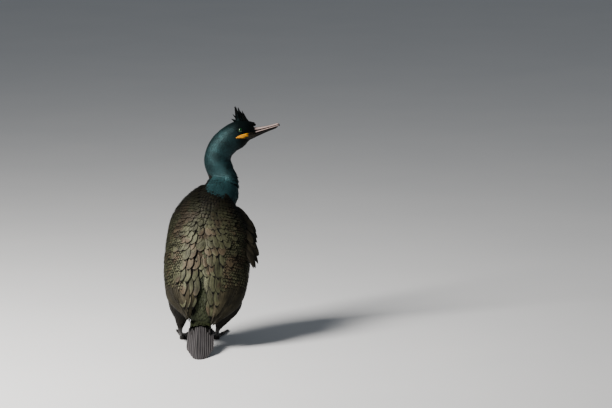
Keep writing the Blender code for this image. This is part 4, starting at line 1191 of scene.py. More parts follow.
# The feathers that the wind lifts, tuft by tuft: place along and across the wing, turn and rise in degrees,
# length and width. Each tuft has this many, turned this far to face backward
LIFTED_FEATHERS = [
    (0.08, 0.70, 14.0, 22.0, 50.0, 22.0), (0.14, 0.80, 8.0, 34.0, 58.0, 21.0),
    (0.20, 0.78, 3.0, 38.0, 60.0, 20.0), (0.32, 0.62, 20.0, 26.0, 50.0, 21.0),
    (0.36, 0.66, 20.0, 34.0, 60.0, 20.0), (0.42, 0.60, 16.0, 28.0, 58.0, 19.0),
]
LIFTED_EACH = 8
LIFTED_OUTLINE = [(0.0, 0.4), (0.15, 0.8), (0.4, 1.0), (0.62, 0.92), (0.78, 0.66), (0.9, 0.36), (1.0, 0.05)]
LIFTED_TWIST, BACKWARD = 0.5, np.array([0.0, -1.0, 0.0])


def lifted_vanes(side):
    """The scapulars and coverts that the wind lifts from this wing."""
    vanes, lengths, unwraps = [], [], []
    draw = np.random.default_rng(77)
    for a, b, turn, rise, length, width in LIFTED_FEATHERS:
        for _ in range(LIFTED_EACH):
            place_a, place_b = a + draw.uniform(-0.015, 0.02), b + draw.uniform(-0.05, 0.05)
            turned = math.radians(turn + draw.uniform(-9.0, 9.0))
            raised = math.radians(rise * draw.uniform(0.7, 1.04))
            long, broad = length * draw.uniform(0.74, 1.02), width * draw.uniform(0.6, 1.0)
            root, out = (found[0] for found in wing_surface(side, place_a, place_b))
            along = wing_surface(side, place_a + 0.02, place_b)[0][0] - root
            along = unit(along - out * along.dot(out))
            sideways = unit(wing_surface(side, place_a, place_b + 0.02)[0][0] - root)
            way = along * math.cos(turned) + sideways * math.sin(turned)
            flat = unit(out * (1.0 - LIFTED_TWIST) + BACKWARD * LIFTED_TWIST)
            across = unit(np.cross(flat, way))
            face = unit(np.cross(way, across))

            def spot(u, v, root=root, out=out, way=way, across=across, face=face, raised=raised,
                     long=long, broad=broad):
                u, v = u[:, None], v[:, None]
                curve = math.sin(raised) * long * (u - 0.35 * u * u)
                point = root + way * math.cos(raised) * long * u + out * (curve - 3.0)
                point = point + across * v * broad / 2 - face * 0.12 * broad * v * v
                return point, np.broadcast_to(face, point.shape)
            pale = draw.uniform(0.15, 0.6)
            vanes.append(long_vane(spot, LIFTED_OUTLINE, (0.35, 0.75, 0.9, 1.0), 0.4, pale))
            lengths.append(long)
            at, angle = wing_place(side, np.array([place_a]), np.array([place_b]))
            unwraps.append(body_unwrap(at, angle)[0])
    return vanes, lengths, unwraps


def make_long_feathers(side, word, finish):
    """The long feathers of one wing as one piece, on the right wing with the lifted ones."""
    vanes, lengths, unwraps = long_tiers(side)
    if side > 0:
        for whole, more in zip((vanes, lengths, unwraps), lifted_vanes(side)):
            whole.extend(more)
    piece = join_vanes("long_feathers_" + word, vanes, lengths, unwraps, 60 + side)
    return finish_piece(piece, finish, ["wing_" + word])


# The tail

def make_tail(finishes):
    """Twelve stiff tail feathers, pair by pair, and the coverts over their roots."""
    long = [feather_mesh("tail_feather", TAIL_OUTLINE, (0.06, 0.55, 0.9, 1.0), 0.05, 0.0, 0.04)]
    rows = []
    for pair, length in enumerate(TAIL_LENGTHS):
        for side in (-1, 1):
            along, right, up = tail_axes(side * (pair + 0.5) * TAIL_SPREAD)
            order = 2 * pair + (side > 0)
            layer = TAIL_TOP_LAYER - TAIL_LAYER_STEP * order
            root = station(TAIL_ROOT)[0, :3] + up * layer + right * side * (pair + 0.5) * TAIL_ROOT_SPACING
            rows.append((root + along * TAIL_ROOT_DEPTH, along, up, length - TAIL_ROOT_DEPTH,
                         (0.80 + 0.015 * order, 0.9)))
    point, lie, out, lengths, unwrap = (np.array(column) for column in zip(*rows))
    count = len(rows)
    feathers = {"point": point, "lie": lie, "out": out, "length": lengths,
                "width": np.full(count, TAIL_WIDTH), "unwrap": unwrap,
                "shade": np.random.default_rng(5).uniform(0, 1, count), "pale": np.ones(count)}
    tail = lay_coat("tail_feathers", feathers, long, finishes["tail"], 0.0, 8)
    remove_shapes(long)
    finish_piece(stand_on_floor(tail), None, ["tail"])
    soft = [feather_mesh("covert", SOFT_OUTLINE, (0.6, 1.0), 0.16, 0.05, 0.03)]
    coverts = lay_coat("tail_coverts", tail_coverts(), soft, finishes["rump"], 0.05, 9)
    remove_shapes(soft)
    finish_piece(coverts, None)


def tail_coverts():
    """Feathers round the root of the tail, over its upper side and under it."""
    along, right, up = tail_axes()
    root = station(TAIL_ROOT)[0, :3]
    table = np.array(TAIL_CORE)

    def surface(s, t):
        s, turns = np.asarray(s, float), np.radians(np.asarray(t, float))
        sine, cosine = np.sin(turns), np.cos(turns)
        half, over, under = (through(table[:, 0], table[:, k], s) for k in (1, 2, 3))
        half, high = half - 1.5, np.where(cosine > 0, over, under)
        point = root + np.outer(s, along) + np.outer(half * sine, right) + np.outer((high - 1.2) * cosine, up)
        return point, unit(np.outer(sine / half, right) + np.outer(cosine / np.maximum(high, 3.0), up))

    def size_at(s):
        return np.full(np.shape(s), 21.0), np.full(np.shape(s), 7.5)

    def depth_at(s):
        return np.full(np.shape(s), 1.6)
    groups = []
    for bounds, seed, shares, turn in (((-14.0, 1.0, -88.0, 88.0), 81, (0.20, 0.5), 180),
                                       ((-4.0, 26.0, 100.0, 260.0), 82, (0.24, 0.5), 0)):
        def unwrap(s, t, turn=turn):
            return np.column_stack([0.78 + 0.2 * (t + turn) / 360, 0.70 + 0.006 * s])
        groups.append(scatter(surface, bounds, size_at, depth_at, seed, shares, unwrap)[0])
    return merged(*groups)


# The crest

# Each tuft of the crest: how far forward along the crown it is rooted, how far sideways, lean back from
# upright in degrees, length, how wide its roots spread, and how many plumes it has
CREST_TUFTS = [
    (-3.6, -0.8, 16.5, 33.5, 6.0, 34), (0.4, 1.2, 16.0, 30.0, 6.0, 30), (-2.0, 2.6, 19.0, 25.0, 6.0, 22),
    (5.5, -0.6, 17.0, 23.0, 6.5, 26), (3.0, -2.4, 20.0, 23.0, 6.5, 22), (9.5, 0.8, 30.0, 14.0, 6.5, 24),
    (-5.0, -1.6, 40.0, 20.0, 2.5, 9), (-8.0, 1.0, 62.0, 12.0, 3.0, 6),
    (-1.0, 0.0, 22.0, 19.0, 9.0, 34), (4.0, 0.0, 24.0, 16.0, 9.0, 30), (8.0, 0.0, 34.0, 12.0, 10.0, 34),
    (13.0, 0.0, -96.0, 11.0, 8.0, 50), (18.0, 0.0, -104.0, 10.5, 8.0, 50), (23.0, 0.0, -112.0, 7.0, 7.0, 50),
    (15.0, -5.0, -100.0, 10.0, 8.0, 40), (15.0, 5.0, -100.0, 10.0, 8.0, 40),
    (21.0, -4.5, -110.0, 8.0, 7.0, 40), (21.0, 4.5, -110.0, 8.0, 7.0, 40),
]
CREST_STATION, CROWN_STATION_LENGTH, CROWN_RADIUS = 15.0, 16.0, 22.0
CREST_SUNK = 2.0


def make_crest(finish):
    """The crest's tufts, each of many narrow plumes that draw together at their tips."""
    plumes = [feather_mesh("plume_%d" % k, PLUME_OUTLINE, (1.0,), 0.2, 0.04 + 0.05 * k, 0.12)
              for k in range(3)]
    draw = np.random.default_rng(21)
    rows = []
    for forward_mm, side_mm, lean, length, spread, count in CREST_TUFTS:
        place = CREST_STATION + forward_mm / CROWN_STATION_LENGTH
        ahead = unit(spine_axes(place)[0][0] * (1.0, 1.0, 0.0))
        lean_back = math.radians(lean)
        way = UP * math.cos(lean_back) - ahead * math.sin(lean_back)
        middle = skin(place, math.degrees(side_mm / CROWN_RADIUS))[0][0]
        tip = middle + way * length
        for _ in range(count):
            along = forward_mm + draw.normal(0.0, 0.42) * spread
            aside = side_mm + draw.normal(0.0, 0.26) * spread
            root_place = CREST_STATION + along / CROWN_STATION_LENGTH
            angle = math.degrees(aside / CROWN_RADIUS)
            root, out = (found[0] for found in skin(root_place, angle))
            share = draw.uniform(0.62, 1.0)**0.8
            lie = tip - root
            rows.append((root - out * CREST_SUNK, unit(lie), np.linalg.norm(lie) * share + CREST_SUNK,
                         draw.uniform(2.0, 3.4), body_unwrap(root_place, angle).ravel()))
    point, lie, lengths, widths, unwrap = (np.array(column) for column in zip(*rows))
    turned = draw.uniform(-math.pi, math.pi, len(rows))[:, None]
    flat = np.cross(lie, unit(np.cross(lie, UP + 0.01)))
    out = flat * np.cos(turned) + np.cross(lie, flat) * np.sin(turned)
    feathers = {"point": point, "lie": lie, "out": out, "length": lengths, "width": widths,
                "unwrap": unwrap, "shade": draw.uniform(0.0, 1.0, len(rows)),
                "pale": np.full(len(rows), 0.35)}
    piece = lay_coat("crest_plumes", feathers, plumes, finish, 0.05, 10)
    remove_shapes(plumes)
    return finish_piece(piece, None, ["crest"])


# Eyes, lids and the bare skin of the gape

PUPIL_ANGLE = 21.0
LID_INNER, LID_OUTER, LID_RAISED = 4.15, 6.0, 0.6


def make_eye(side, word, finish):
    """The eyeball with the angle from its axis kept on it, so that iris and pupil are drawn on the mesh."""
    centre, out, forward, up = eye_frame(side)
    rows, columns = 40, 48
    points, from_axis = [], []
    for i in range(1, rows):
        polar = math.pi * i / rows
        for k in range(columns):
            turn = 2 * math.pi * k / columns
            way = out * math.cos(polar) + (forward * math.cos(turn) + up * math.sin(turn)) * math.sin(polar)
            points.append(centre + way * EYE_RADIUS)
            from_axis.append(math.degrees(polar))
    faces = grid_faces(rows - 1, columns, closed=True)
    last = len(points)
    points += [centre + out * EYE_RADIUS, centre - out * EYE_RADIUS]
    from_axis += [0.0, 180.0]
    faces += [(last, k, (k + 1) % columns) for k in range(columns)]
    base = (rows - 2) * columns
    faces += [(last + 1, base + (k + 1) % columns, base + k) for k in range(columns)]
    obj = facing_out(new_object("eyeball_" + word, placed(points), faces))
    attribute(obj.data, "from_axis", np.array(from_axis) / 90.0)
    return finish_piece(obj, finish, ["eye_" + word])


def make_lids(side, word, finish):
    """The ring of bare skin round an eye, lower in front and behind, with fine creases."""
    centre, out, forward, up = eye_frame(side)
    turns = np.arange(96) * 2 * math.pi / 96
    rings = []
    profile = [(LID_INNER, -0.9), (LID_INNER - 0.05, 0.15), (LID_INNER + 0.25, LID_RAISED * 0.85),
               (LID_INNER + 0.6, LID_RAISED), (LID_INNER + 1.0, LID_RAISED * 0.5),
               (LID_OUTER - 0.4, -0.3), (LID_OUTER, -1.2), (LID_OUTER - 0.5, -3.4)]
    for radius, rise in profile:
        crease = 0.10 * np.sin(turns * 18.0) * (1.0 if radius > LID_INNER + 0.3 else 0.2)
        wide = (radius + crease) * (1.0 + 0.14 * np.cos(turns)**2 - 0.05 * np.sin(turns)**2)
        base = math.sqrt(max(EYE_RADIUS**2 - radius**2, 1.2)) if radius < EYE_RADIUS - 0.4 else 2.4
        height = base + rise - 0.5 * np.cos(turns)**2 * (radius > LID_INNER + 0.5)
        rings.append(placed(centre + np.outer(np.cos(turns) * wide, forward)
                            + np.outer(np.sin(turns) * wide, up) + np.outer(height, out)))
    count = len(turns)
    faces = grid_faces(len(rings), count, closed=True)
    last = (len(rings) - 1) * count
    faces += [(k, (k + 1) % count, last + (k + 1) % count, last + k) for k in range(count)]
    obj = facing_out(new_object("lids_" + word, np.concatenate(rings), faces))
    return finish_piece(obj, finish)


GAPE_ROWS, GAPE_COLUMNS = 120, 35
GAPE_SWELL, GAPE_CREASE = 1.2, 0.8


def make_gape(side, word, finish):
    """The bare skin at the corner of the mouth: yellow behind, dull in front, folded along the mouth."""
    places = np.linspace(GAPE_PLACES[0] - 0.06, GAPE_PLACES[-1] + 0.1, GAPE_ROWS)
    shares = np.linspace(-1.0, 1.0, GAPE_COLUMNS)
    rings, along = [], []
    for place in places:
        fold, top, low = (float(through(GAPE_PLACES, angles, place))
                          for angles in (GAPE_FOLDS, GAPE_TOPS, GAPE_LOWS))
        angle = side * np.where(shares < 0, fold + shares * (fold - top), fold + shares * (low - fold))
        forward = (place - places[0]) / (places[-1] - places[0])
        opening = math.sin(math.pi * min(forward * 1.7 + 0.08, 1.0) * 0.5)
        swell = GAPE_SWELL * (1.0 - np.abs(shares)**3) * opening
        swell = swell * (1.0 - 0.75 * forward) - 1.4 * max(forward - 0.9, 0.0) / 0.1
        crease = -GAPE_CREASE * np.exp(-(shares / 0.10)**2) * min(max((place - 14.1) * 2.5, 0.0), 1.0)
        wrinkle = 0.10 * np.sin(place * 52.0 + shares * 4.2) * (1.0 - shares**2)
        tiny = 0.06 * np.sin(place * 131.0 + 3.0 * shares) * np.sin(shares * 37.0)
        here = np.full(GAPE_COLUMNS, place)
        outer = placed(skin(here, angle, swell + crease + wrinkle + tiny - 0.25)[0])
        inner = placed(skin(here, angle, -2.2)[0])
        rings.append(np.concatenate([outer, inner[::-1]]))
        along.append(np.full(2 * GAPE_COLUMNS, forward))
    obj = closed_rings("gape_skin_" + word, rings)
    attribute(obj.data, "along", np.concatenate(along))
    attribute(obj.data, "across", np.tile(np.concatenate([shares, shares[::-1]]), GAPE_ROWS))
    return finish_piece(obj, finish, ["gape_" + word])


# The bill

# Each half of the bill: share of the length, half width, height from the mouth line and, for the upper one,
# depth of the edge under that line
UPPER_BILL = [
    (-0.10, 8.9, 12.4, 0.0), (0.0, 8.6, 11.5, 0.0), (0.14, 7.2, 9.6, 0.0), (0.34, 5.8, 7.8, 0.0),
    (0.58, 4.8, 6.4, 0.0), (0.78, 4.3, 5.9, 0.0), (0.88, 3.9, 6.0, 0.1), (0.93, 3.5, 5.5, 0.9),
    (0.958, 3.0, 4.5, 1.5), (0.978, 2.3, 3.0, 1.5), (0.988, 1.3, 1.5, 1.0),
]
LOWER_BILL = [(-0.10, 8.6, 10.6), (0.0, 8.4, 10.0), (0.16, 7.0, 8.8), (0.36, 5.5, 7.0), (0.60, 4.4, 5.4),
              (0.80, 3.7, 4.4), (0.885, 2.5, 2.7), (0.895, 2.0, 2.0)]
BILL_LENGTH, MOUTH_GAP = 58.0, 0.4
GROOVE_HEIGHT, GROOVE_DEPTH = 0.42, 0.55
BILL_OUTER_POINTS, BILL_INNER_POINTS = 33, 7


def bill_rings(rows, sign, shift):
    """Rings along one half of the bill: a rounded outside with its grooves, and a flat inside."""
    forward, right, up = bill_axes()
    base = station(BILL_BASE)[0, :3] + forward * BILL_GAP
    table = np.array(rows)
    shares = np.concatenate([np.linspace(table[0, 0], 0.86, 44), np.linspace(0.87, table[-1, 0], 26)])
    turns = np.linspace(0.0, math.pi, BILL_OUTER_POINTS)
    sine, cosine = np.sin(turns), np.cos(turns)
    inside = np.linspace(-0.86, 0.86, BILL_INNER_POINTS)
    groove_shape = GROOVE_DEPTH * np.exp(-((sine - GROOVE_HEIGHT) / 0.13)**2)
    rings, height_share, along = [], [], []
    for share in shares:
        half, high = (float(through(table[:, 0], table[:, k], share)) for k in (1, 2))
        deep = float(through(table[:, 0], table[:, 3], share)) if sign > 0 else 0.0
        centre = base + forward * BILL_LENGTH * share + up * shift
        groove = groove_shape * (share < 0.93) * min(1.0, high / 5.0)
        squared = (half - groove) * np.sign(cosine) * np.abs(cosine)**0.8
        outer = centre + np.outer(squared, right) + np.outer(sign * high * sine, up)
        inner = centre + np.outer(inside * half * 0.92, right) - up * (sign * max(deep, 0.0))
        inner += up * (0.45 * (deep <= 0.2) * sign)
        rings.append(placed(np.concatenate([outer, inner])))
        height_share.append(np.concatenate([sine, np.zeros(BILL_INNER_POINTS)]))
        along.append(np.full(len(rings[-1]), share))
    return rings, np.concatenate(height_share), np.concatenate(along)


def make_bill(finishes):
    """Both halves of the bill, each with its height and length kept for the finish."""
    for word, rows, sign, gap in (("upper", UPPER_BILL, 1.0, 0.0), ("lower", LOWER_BILL, -1.0, MOUTH_GAP)):
        rings, height_share, along = bill_rings(rows, sign, -gap)
        obj = closed_rings("bill_sheath_" + word, rings)
        attribute(obj.data, "height", height_share)
        attribute(obj.data, "along", along)
        finish_piece(obj, finishes["bill_" + word], ["bill_" + word])


# Legs and feet

# Each foot: where the leg meets it and how far it turns outwards in degrees
FEET = {-1: ((-53.0, 2.0, 12.5), -13.0), 1: ((25.0, 2.0, 12.5), -8.0)}
TARSUS_PLACES, TARSUS_RADII, ANKLE_BEND = [0.0, 0.2, 0.4, 0.7, 1.0], [6.2, 5.4, 4.4, 4.2, 4.8], 14.0
# Turn outwards from the foot's line in degrees, length, radius at the root, radius at the claw
TOES = [(24.0, 84.0, 4.2, 2.4), (0.0, 76.0, 4.4, 2.5), (-26.0, 54.0, 4.0, 2.4), (-98.0, 28.0, 3.4, 2.2)]
TOE_NAMES = ["outer", "middle", "inner", "hind"]
TOE_SHARES = [0.0, 0.12, 0.26, 0.4, 0.5, 0.66, 0.82, 0.92, 1.0]
TOE_SWELL = [0.8, 1.0, 0.86, 0.84, 0.97, 0.80, 0.80, 0.72, 0.60]
HEEL_AHEAD, HEEL_RADII, WEB_REACH, WEB_NOTCH = 9.5, (10.0, 7.5, 7.0), 0.93, 0.17
CLAW_LENGTH, CLAW_TIP_HEIGHT, CLAW_CURVE = 10.0, 0.5, 1.2
FOOT_VOXEL = 0.0009


def tube(name, centres, radii, sides, beside):
    """A round body through centres, its sections kept upright to the way beside it."""
    centres = np.asarray(centres, float)
    along = unit(np.gradient(centres, axis=0))
    across = unit(np.cross(along, np.broadcast_to(beside, centres.shape)))
    over = np.cross(across, along)
    turns = np.arange(sides) * 2 * math.pi / sides
    rings = [placed(centre + radius * (np.outer(np.cos(turns), a) + np.outer(np.sin(turns), b)))
             for centre, radius, a, b in zip(centres, radii, across, over)]
    return closed_rings(name, rings)


def level_way(side, turn):
    """The level direction turned this far outwards from straight ahead."""
    turned = math.radians(turn) * side
    return np.array([math.sin(turned), math.cos(turned), 0.0])


def beside_toe(side, toe):
    """The level direction square to a toe."""
    return level_way(side, FEET[side][1] + TOES[toe][0] + 90.0)


def leg_line(side, shares):
    """Points down the bare leg from the ankle to the foot's joint."""
    rows = np.array(THIGHS[side])
    ankle, joint = rows[-1, :3], np.array(FEET[side][0])
    corner = ankle + unit(ankle - rows[-2, :3]) * ANKLE_BEND
    t = np.asarray(shares, float)[:, None]
    return ankle * (1 - t)**2 + corner * 2 * t * (1 - t) + joint * t * t


def toe_line(side, toe, shares):
    """Points along a toe and the toe's radius there."""
    joint, foot_turn = FEET[side]
    turn, length, thick, thin = TOES[toe]
    sole = np.array([joint[0], joint[1], 0.0]) + level_way(side, foot_turn) * HEEL_AHEAD
    shares = np.asarray(shares, float)
    base = thick + (thin / 0.6 - thick) * shares
    radii = base * through(TOE_SHARES, TOE_SWELL, shares)
    way = level_way(side, foot_turn + turn)
    points = sole + np.outer(shares * length, way) + np.outer(np.maximum(radii - 0.5, 0.6), UP)
    return points, radii, way


def make_web(side, first, second):
    """The skin between two toes, gathered in folds that spread from the heel."""
    (heel, end), (_, other_end) = (toe_line(side, toe, [0.0, WEB_REACH])[0] for toe in (first, second))
    q = np.linspace(0.0, 1.0, 30)
    rings = []
    for r in np.linspace(0.06, 1.0, 36):
        reach = r * (1.0 - WEB_NOTCH * np.sqrt(np.sin(math.pi * q)))
        flat = heel + (np.outer(1 - q, end - heel) + np.outer(q, other_end - heel)) * reach[:, None]
        folds = 1.25 + r * (0.45 * np.sin(math.pi * q * 5.0)**2 - 0.2) + 0.12 * np.sin(r * 60.0)
        top, under = flat.copy(), flat[::-1].copy()
        top[:, 2], under[:, 2] = folds, -1.0
        rings.append(placed(np.concatenate([top, under])))
    return closed_rings("web", rings)


def make_foot(side, word, finish):
    """The toes, the heel and the webs of one foot as one skin, level on the ground."""
    parts = []
    for toe in range(len(TOES)):
        points, radii, _ = toe_line(side, toe, np.linspace(0.0, 1.0, 40))
        parts.append(tube("toe", points, radii, 16, beside_toe(side, toe)))
    joint, foot_turn = FEET[side]
    ahead = level_way(side, foot_turn)
    middle = np.array([joint[0], joint[1], 0.0]) + ahead * HEEL_AHEAD + UP * HEEL_RADII[2] * 0.55
    shares = np.linspace(-0.98, 0.98, 16)
    parts.append(tube("heel", middle + np.outer(shares * HEEL_RADII[0], ahead),
                      HEEL_RADII[1] * np.sqrt(1.0 - shares**2), 20, level_way(side, foot_turn + 90.0)))
    stub = leg_line(side, [0.86, 0.93, 1.0])
    stub = np.concatenate([stub, stub[-1:] - UP * 6.0])
    parts.append(tube("stub", stub, [4.5, 4.8, 5.2, 4.6], 16, np.array([1.0, 0.0, 0.0])))
    parts += [make_web(side, k, k + 1) for k in range(3)]
    parts[0].name = "foot_skin_" + word
    foot = stand_on_floor(fused(parts, FOOT_VOXEL, 3))
    return finish_piece(foot, finish, ["foot_" + word])


def make_shank(side, word, finish):
    """One bare leg, lightly ringed."""
    shares = np.linspace(-0.04, 0.97, 40)
    radii = through(TARSUS_PLACES, TARSUS_RADII, shares) * (1.0 + 0.02 * np.sin(shares * 95.0))
    shank = tube("shank_" + word, leg_line(side, shares), radii, 24, np.array([1.0, 0.0, 0.0]))
    return finish_piece(shank, finish, ["tarsus_" + word])


def make_claws(side, word, finish):
    """Curved claws that come down to the ground, one from the end of each toe."""
    parts = []
    t = np.linspace(0.0, 1.0, 16)[:, None]
    for toe, row in enumerate(TOES):
        points, _, way = toe_line(side, toe, [0.99, 1.0])
        start = points[-1]
        tip = start + way * CLAW_LENGTH + UP * (CLAW_TIP_HEIGHT - start[2])
        over = start + way * CLAW_LENGTH * 0.55 + UP * CLAW_CURVE
        line = start * (1 - t)**2 + over * 2 * t * (1 - t) + tip * t * t
        radii = row[3] * 0.84 * (1.0 - t[:, 0]**1.6) + 0.12
        parts.append(tube("claws_" + word, line, radii, 14, beside_toe(side, toe)))
    claws = stand_on_floor(joined(parts))
    return finish_piece(claws, finish, ["claw_%s_%s" % (word, toe) for toe in TOE_NAMES])


SCUTE_OUTLINE = [(0.0, 0.8), (0.5, 1.0), (0.85, 0.9), (1.0, 0.5)]
SCUTE_STEP, SCUTE_SUNK = 2.7, 0.35


def make_scutes(finish):
    """The plates in rows along the toes and down the front of the legs."""
    plate = [feather_mesh("scute", SCUTE_OUTLINE, (0.6, 1.0), 0.30, 0.0, 0.12)]
    rows = {key: [] for key in ("point", "lie", "out", "length", "width", "unwrap")}

    def lay(point, lie, out, length, width, spot):
        for key, value in zip(rows, (point, lie, out, length, width, spot)):
            rows[key].append(value)
    for side in (-1, 1):
        for toe, row in enumerate(TOES):
            count = int(row[1] * 0.9 / SCUTE_STEP)
            points, radii, way = toe_line(side, toe, np.linspace(0.10, 0.97, count))
            beside = np.cross(way, UP)
            for k in range(count):
                for lean, broad, ahead in ((-52.0, 0.8, SCUTE_STEP / 2), (0.0, 1.15, 0.0),
                                           (52.0, 0.8, SCUTE_STEP / 2)):
                    turned = math.radians(lean)
                    out = UP * math.cos(turned) + beside * math.sin(turned)
                    root = points[k] + out * (radii[k] - SCUTE_SUNK) + way * ahead
                    lay(root, unit(way + out * 0.10), out, SCUTE_STEP * 1.35, radii[k] * broad,
                        (0.80 + 0.04 * toe + 0.0005 * lean, 0.40 + 0.2 * (side > 0) + 0.15 * k / count))
        shares = np.linspace(0.05, 0.95, 16)
        line = leg_line(side, shares)
        for k, centre in enumerate(line):
            down = unit(leg_line(side, [shares[k] + 0.02])[0] - centre)
            for lean in (-35.0, 35.0):
                turned = math.radians(lean)
                ahead = np.array([math.sin(turned), math.cos(turned), 0.0])
                ahead = unit(ahead - down * ahead.dot(down))
                radius = float(through(TARSUS_PLACES, TARSUS_RADII, shares[k]))
                lay(centre + ahead * (radius - SCUTE_SUNK), unit(down + ahead * 0.1), ahead, 3.6, 4.4,
                    (0.97, 0.40 + 0.2 * (side > 0) + 0.01 * k))
    feathers = {key: np.array(value, float) for key, value in rows.items()}
    count = len(feathers["point"])
    feathers["shade"] = np.random.default_rng(9).uniform(0.0, 1.0, count)
    feathers["pale"] = np.ones(count)
    piece = lay_coat("scutes", feathers, plate, finish, 0.02, 12)
    remove_shapes(plate)
    return finish_piece(piece, None)


# Finishes

def neck_material(colours):
    """Neck feathers, silky barbs over dark keratin: a bottle-green gloss where light strikes, else black."""
    tones = (colours.neck_dark, colours.neck_light, linear("#030505"))
    return feather_material("silky_neck_feather", tones, roughness=0.42, metal=0.5, barb_mm=0.9,
                            border_from=0.8)


def scaly_material(colours):
    """Back feathers, firm flat vanes: a dull bronze with velvet-black borders."""
    tones = (colours.back_dark, colours.back_light, linear("#020202"))
    return feather_material("firm_bordered_back_feather", tones, roughness=0.42, metal=0.25, barb_mm=0.9,
                            border_from=0.40, warm=colours.back_warm)


def plain_feather_material(name, dark, light, roughness, metal):
    """Body feathers without bright gloss or borders, loose barbs over dark keratin."""
    tones = (linear(dark), linear(light), linear("#020302"))
    return feather_material(name, tones, roughness, metal, barb_mm=1.2, border_from=0.8)


def under_skin_material():
    """The bird's own skin, hidden by the coat: matt and nearly black, so that no gap shows pale."""
    made, tree, shader = new_material("dark_skin_under_coat")
    colour = mixed(tree, noise(tree, 220.0, 4.0), linear("#030404"), linear("#0b0b09"))
    feed(tree, shader, {"Base Color": colour, "Roughness": 0.9, "Specular IOR Level": 0.1})
    return made


def tail_material():
    """Tail quills, stiff keratin frayed by use: dull grey-brown vanes with pale shafts and frayed paler
    streaks.
    """
    made, tree, shader = new_material("stiff_worn_tail_quill")
    vane = add(tree, "ShaderNodeSeparateXYZ", {}, {0: read(tree, "vane", "Vector")})
    from_shaft = math_node(tree, "ABSOLUTE", vane.outputs[0])
    stretched = add(tree, "ShaderNodeCombineXYZ", {}, {
        "X": math_node(tree, "MULTIPLY", vane.outputs[0], 7.0),
        "Y": math_node(tree, "MULTIPLY", vane.outputs[1], 1.6),
        "Z": math_node(tree, "MULTIPLY", read(tree, "shade"), 9.0)})
    streaks = noise(tree, 1.6, 4.0, stretched.outputs[0])
    pale_streak_and_painted_highlight = ramp(tree, streaks, [(0.46, 0.0), (0.62, 1.0)])
    colour = mixed(tree, pale_streak_and_painted_highlight, linear("#0d0c0f"), linear("#3b393c"))
    shaft = ramp(tree, from_shaft, [(0.03, 0.7), (0.09, 0.0)])
    rim = ramp(tree, from_shaft, [(0.72, 0.0), (0.80, 0.8), (0.88, 0.8), (0.93, 0.0)])
    hem = ramp(tree, read(tree, "edge"), [(0.7, 0.0), (0.9, 0.9)])
    for mark, over in ((shaft, "#585452"), (rim, "#605d5e"), (hem, "#0b0a0b")):
        colour = mixed(tree, mark, colour, linear(over))
    feed(tree, shader, {"Base Color": colour, "Roughness": 0.48, "Normal": bump(tree, streaks, 0.4, 0.0003)})
    return made


def eye_material(colours):
    """The eyeball, a wet cornea over an emerald iris: a hard bright glint on deep clear colour."""
    made, tree, shader = new_material("wet_cornea_emerald_iris")
    from_axis = read(tree, "from_axis")
    # Both iris colours are painted darker for the shade over the eye, and mixed in random flecks
    colour = mixed(tree, noise(tree, 1400.0, 2.0), colours.iris_dark_painted_shade, colours.iris_pale_painted_shade)
    outer = ramp(tree, from_axis, [(0.50, 0.0), (0.66, 1.0)])
    pupil = ramp(tree, from_axis, [(PUPIL_ANGLE / 90.0, 1.0), (PUPIL_ANGLE / 90.0 + 0.03, 0.0)])
    colour = mixed(tree, outer, colour, linear("#04140c"))
    colour = mixed(tree, pupil, colour, linear("#020303"))
    feed(tree, shader, {"Base Color": colour, "Roughness": 0.05, "IOR": 1.376})
    return made


def lid_material():
    """Eyelid skin, thin and finely pebbled: matt black with a faint green cast."""
    made, tree, shader = new_material("pebbled_eyelid_skin")
    pebbles = add(tree, "ShaderNodeTexVoronoi", {}, {"Vector": own_place(tree), "Scale": 1 / (0.7 * MM)})
    colour = mixed(tree, pebbles.outputs[0], linear("#040505"), linear("#010202"))
    feed(tree, shader, {"Base Color": colour, "Roughness": 0.65, "Specular IOR Level": 0.12,
                        "Normal": bump(tree, pebbles.outputs[0], 0.5, 0.0002, invert=True)})
    return made


def gape_material(colours):
    """Bare gape skin, soft and moist: bright yellow, duller and olive low down and towards the bill."""
    made, tree, shader = new_material("soft_yellow_gape_skin")
    along, across, mottle = read(tree, "along"), read(tree, "across"), noise(tree, 420.0, 4.0)
    colour = mixed(tree, stretch(tree, mottle, 0.4, 0.75), colours.gape, linear("#b57400"))
    dull = mixed(tree, stretch(tree, mottle, 0.42, 0.62), linear("#050505"), linear("#2c2616"))
    uneven = math_node(tree, "MULTIPLY", mottle, 0.16)
    ahead = ramp(tree, math_node(tree, "ADD", along, uneven), [(0.50, 0.0), (0.64, 1.0)])
    low = ramp(tree, math_node(tree, "ADD", across, uneven), [(0.30, 0.0), (0.62, 1.0)])
    low = math_node(tree, "MULTIPLY", low, ramp(tree, along, [(0.18, 0.0), (0.36, 1.0)]))
    colour = mixed(tree, math_node(tree, "MAXIMUM", ahead, low), colour, dull)
    feed(tree, shader, {"Base Color": colour, "Roughness": 0.5, "Specular IOR Level": 0.15,
                        "Normal": bump(tree, mottle, 0.3, 0.0002)})
    return made


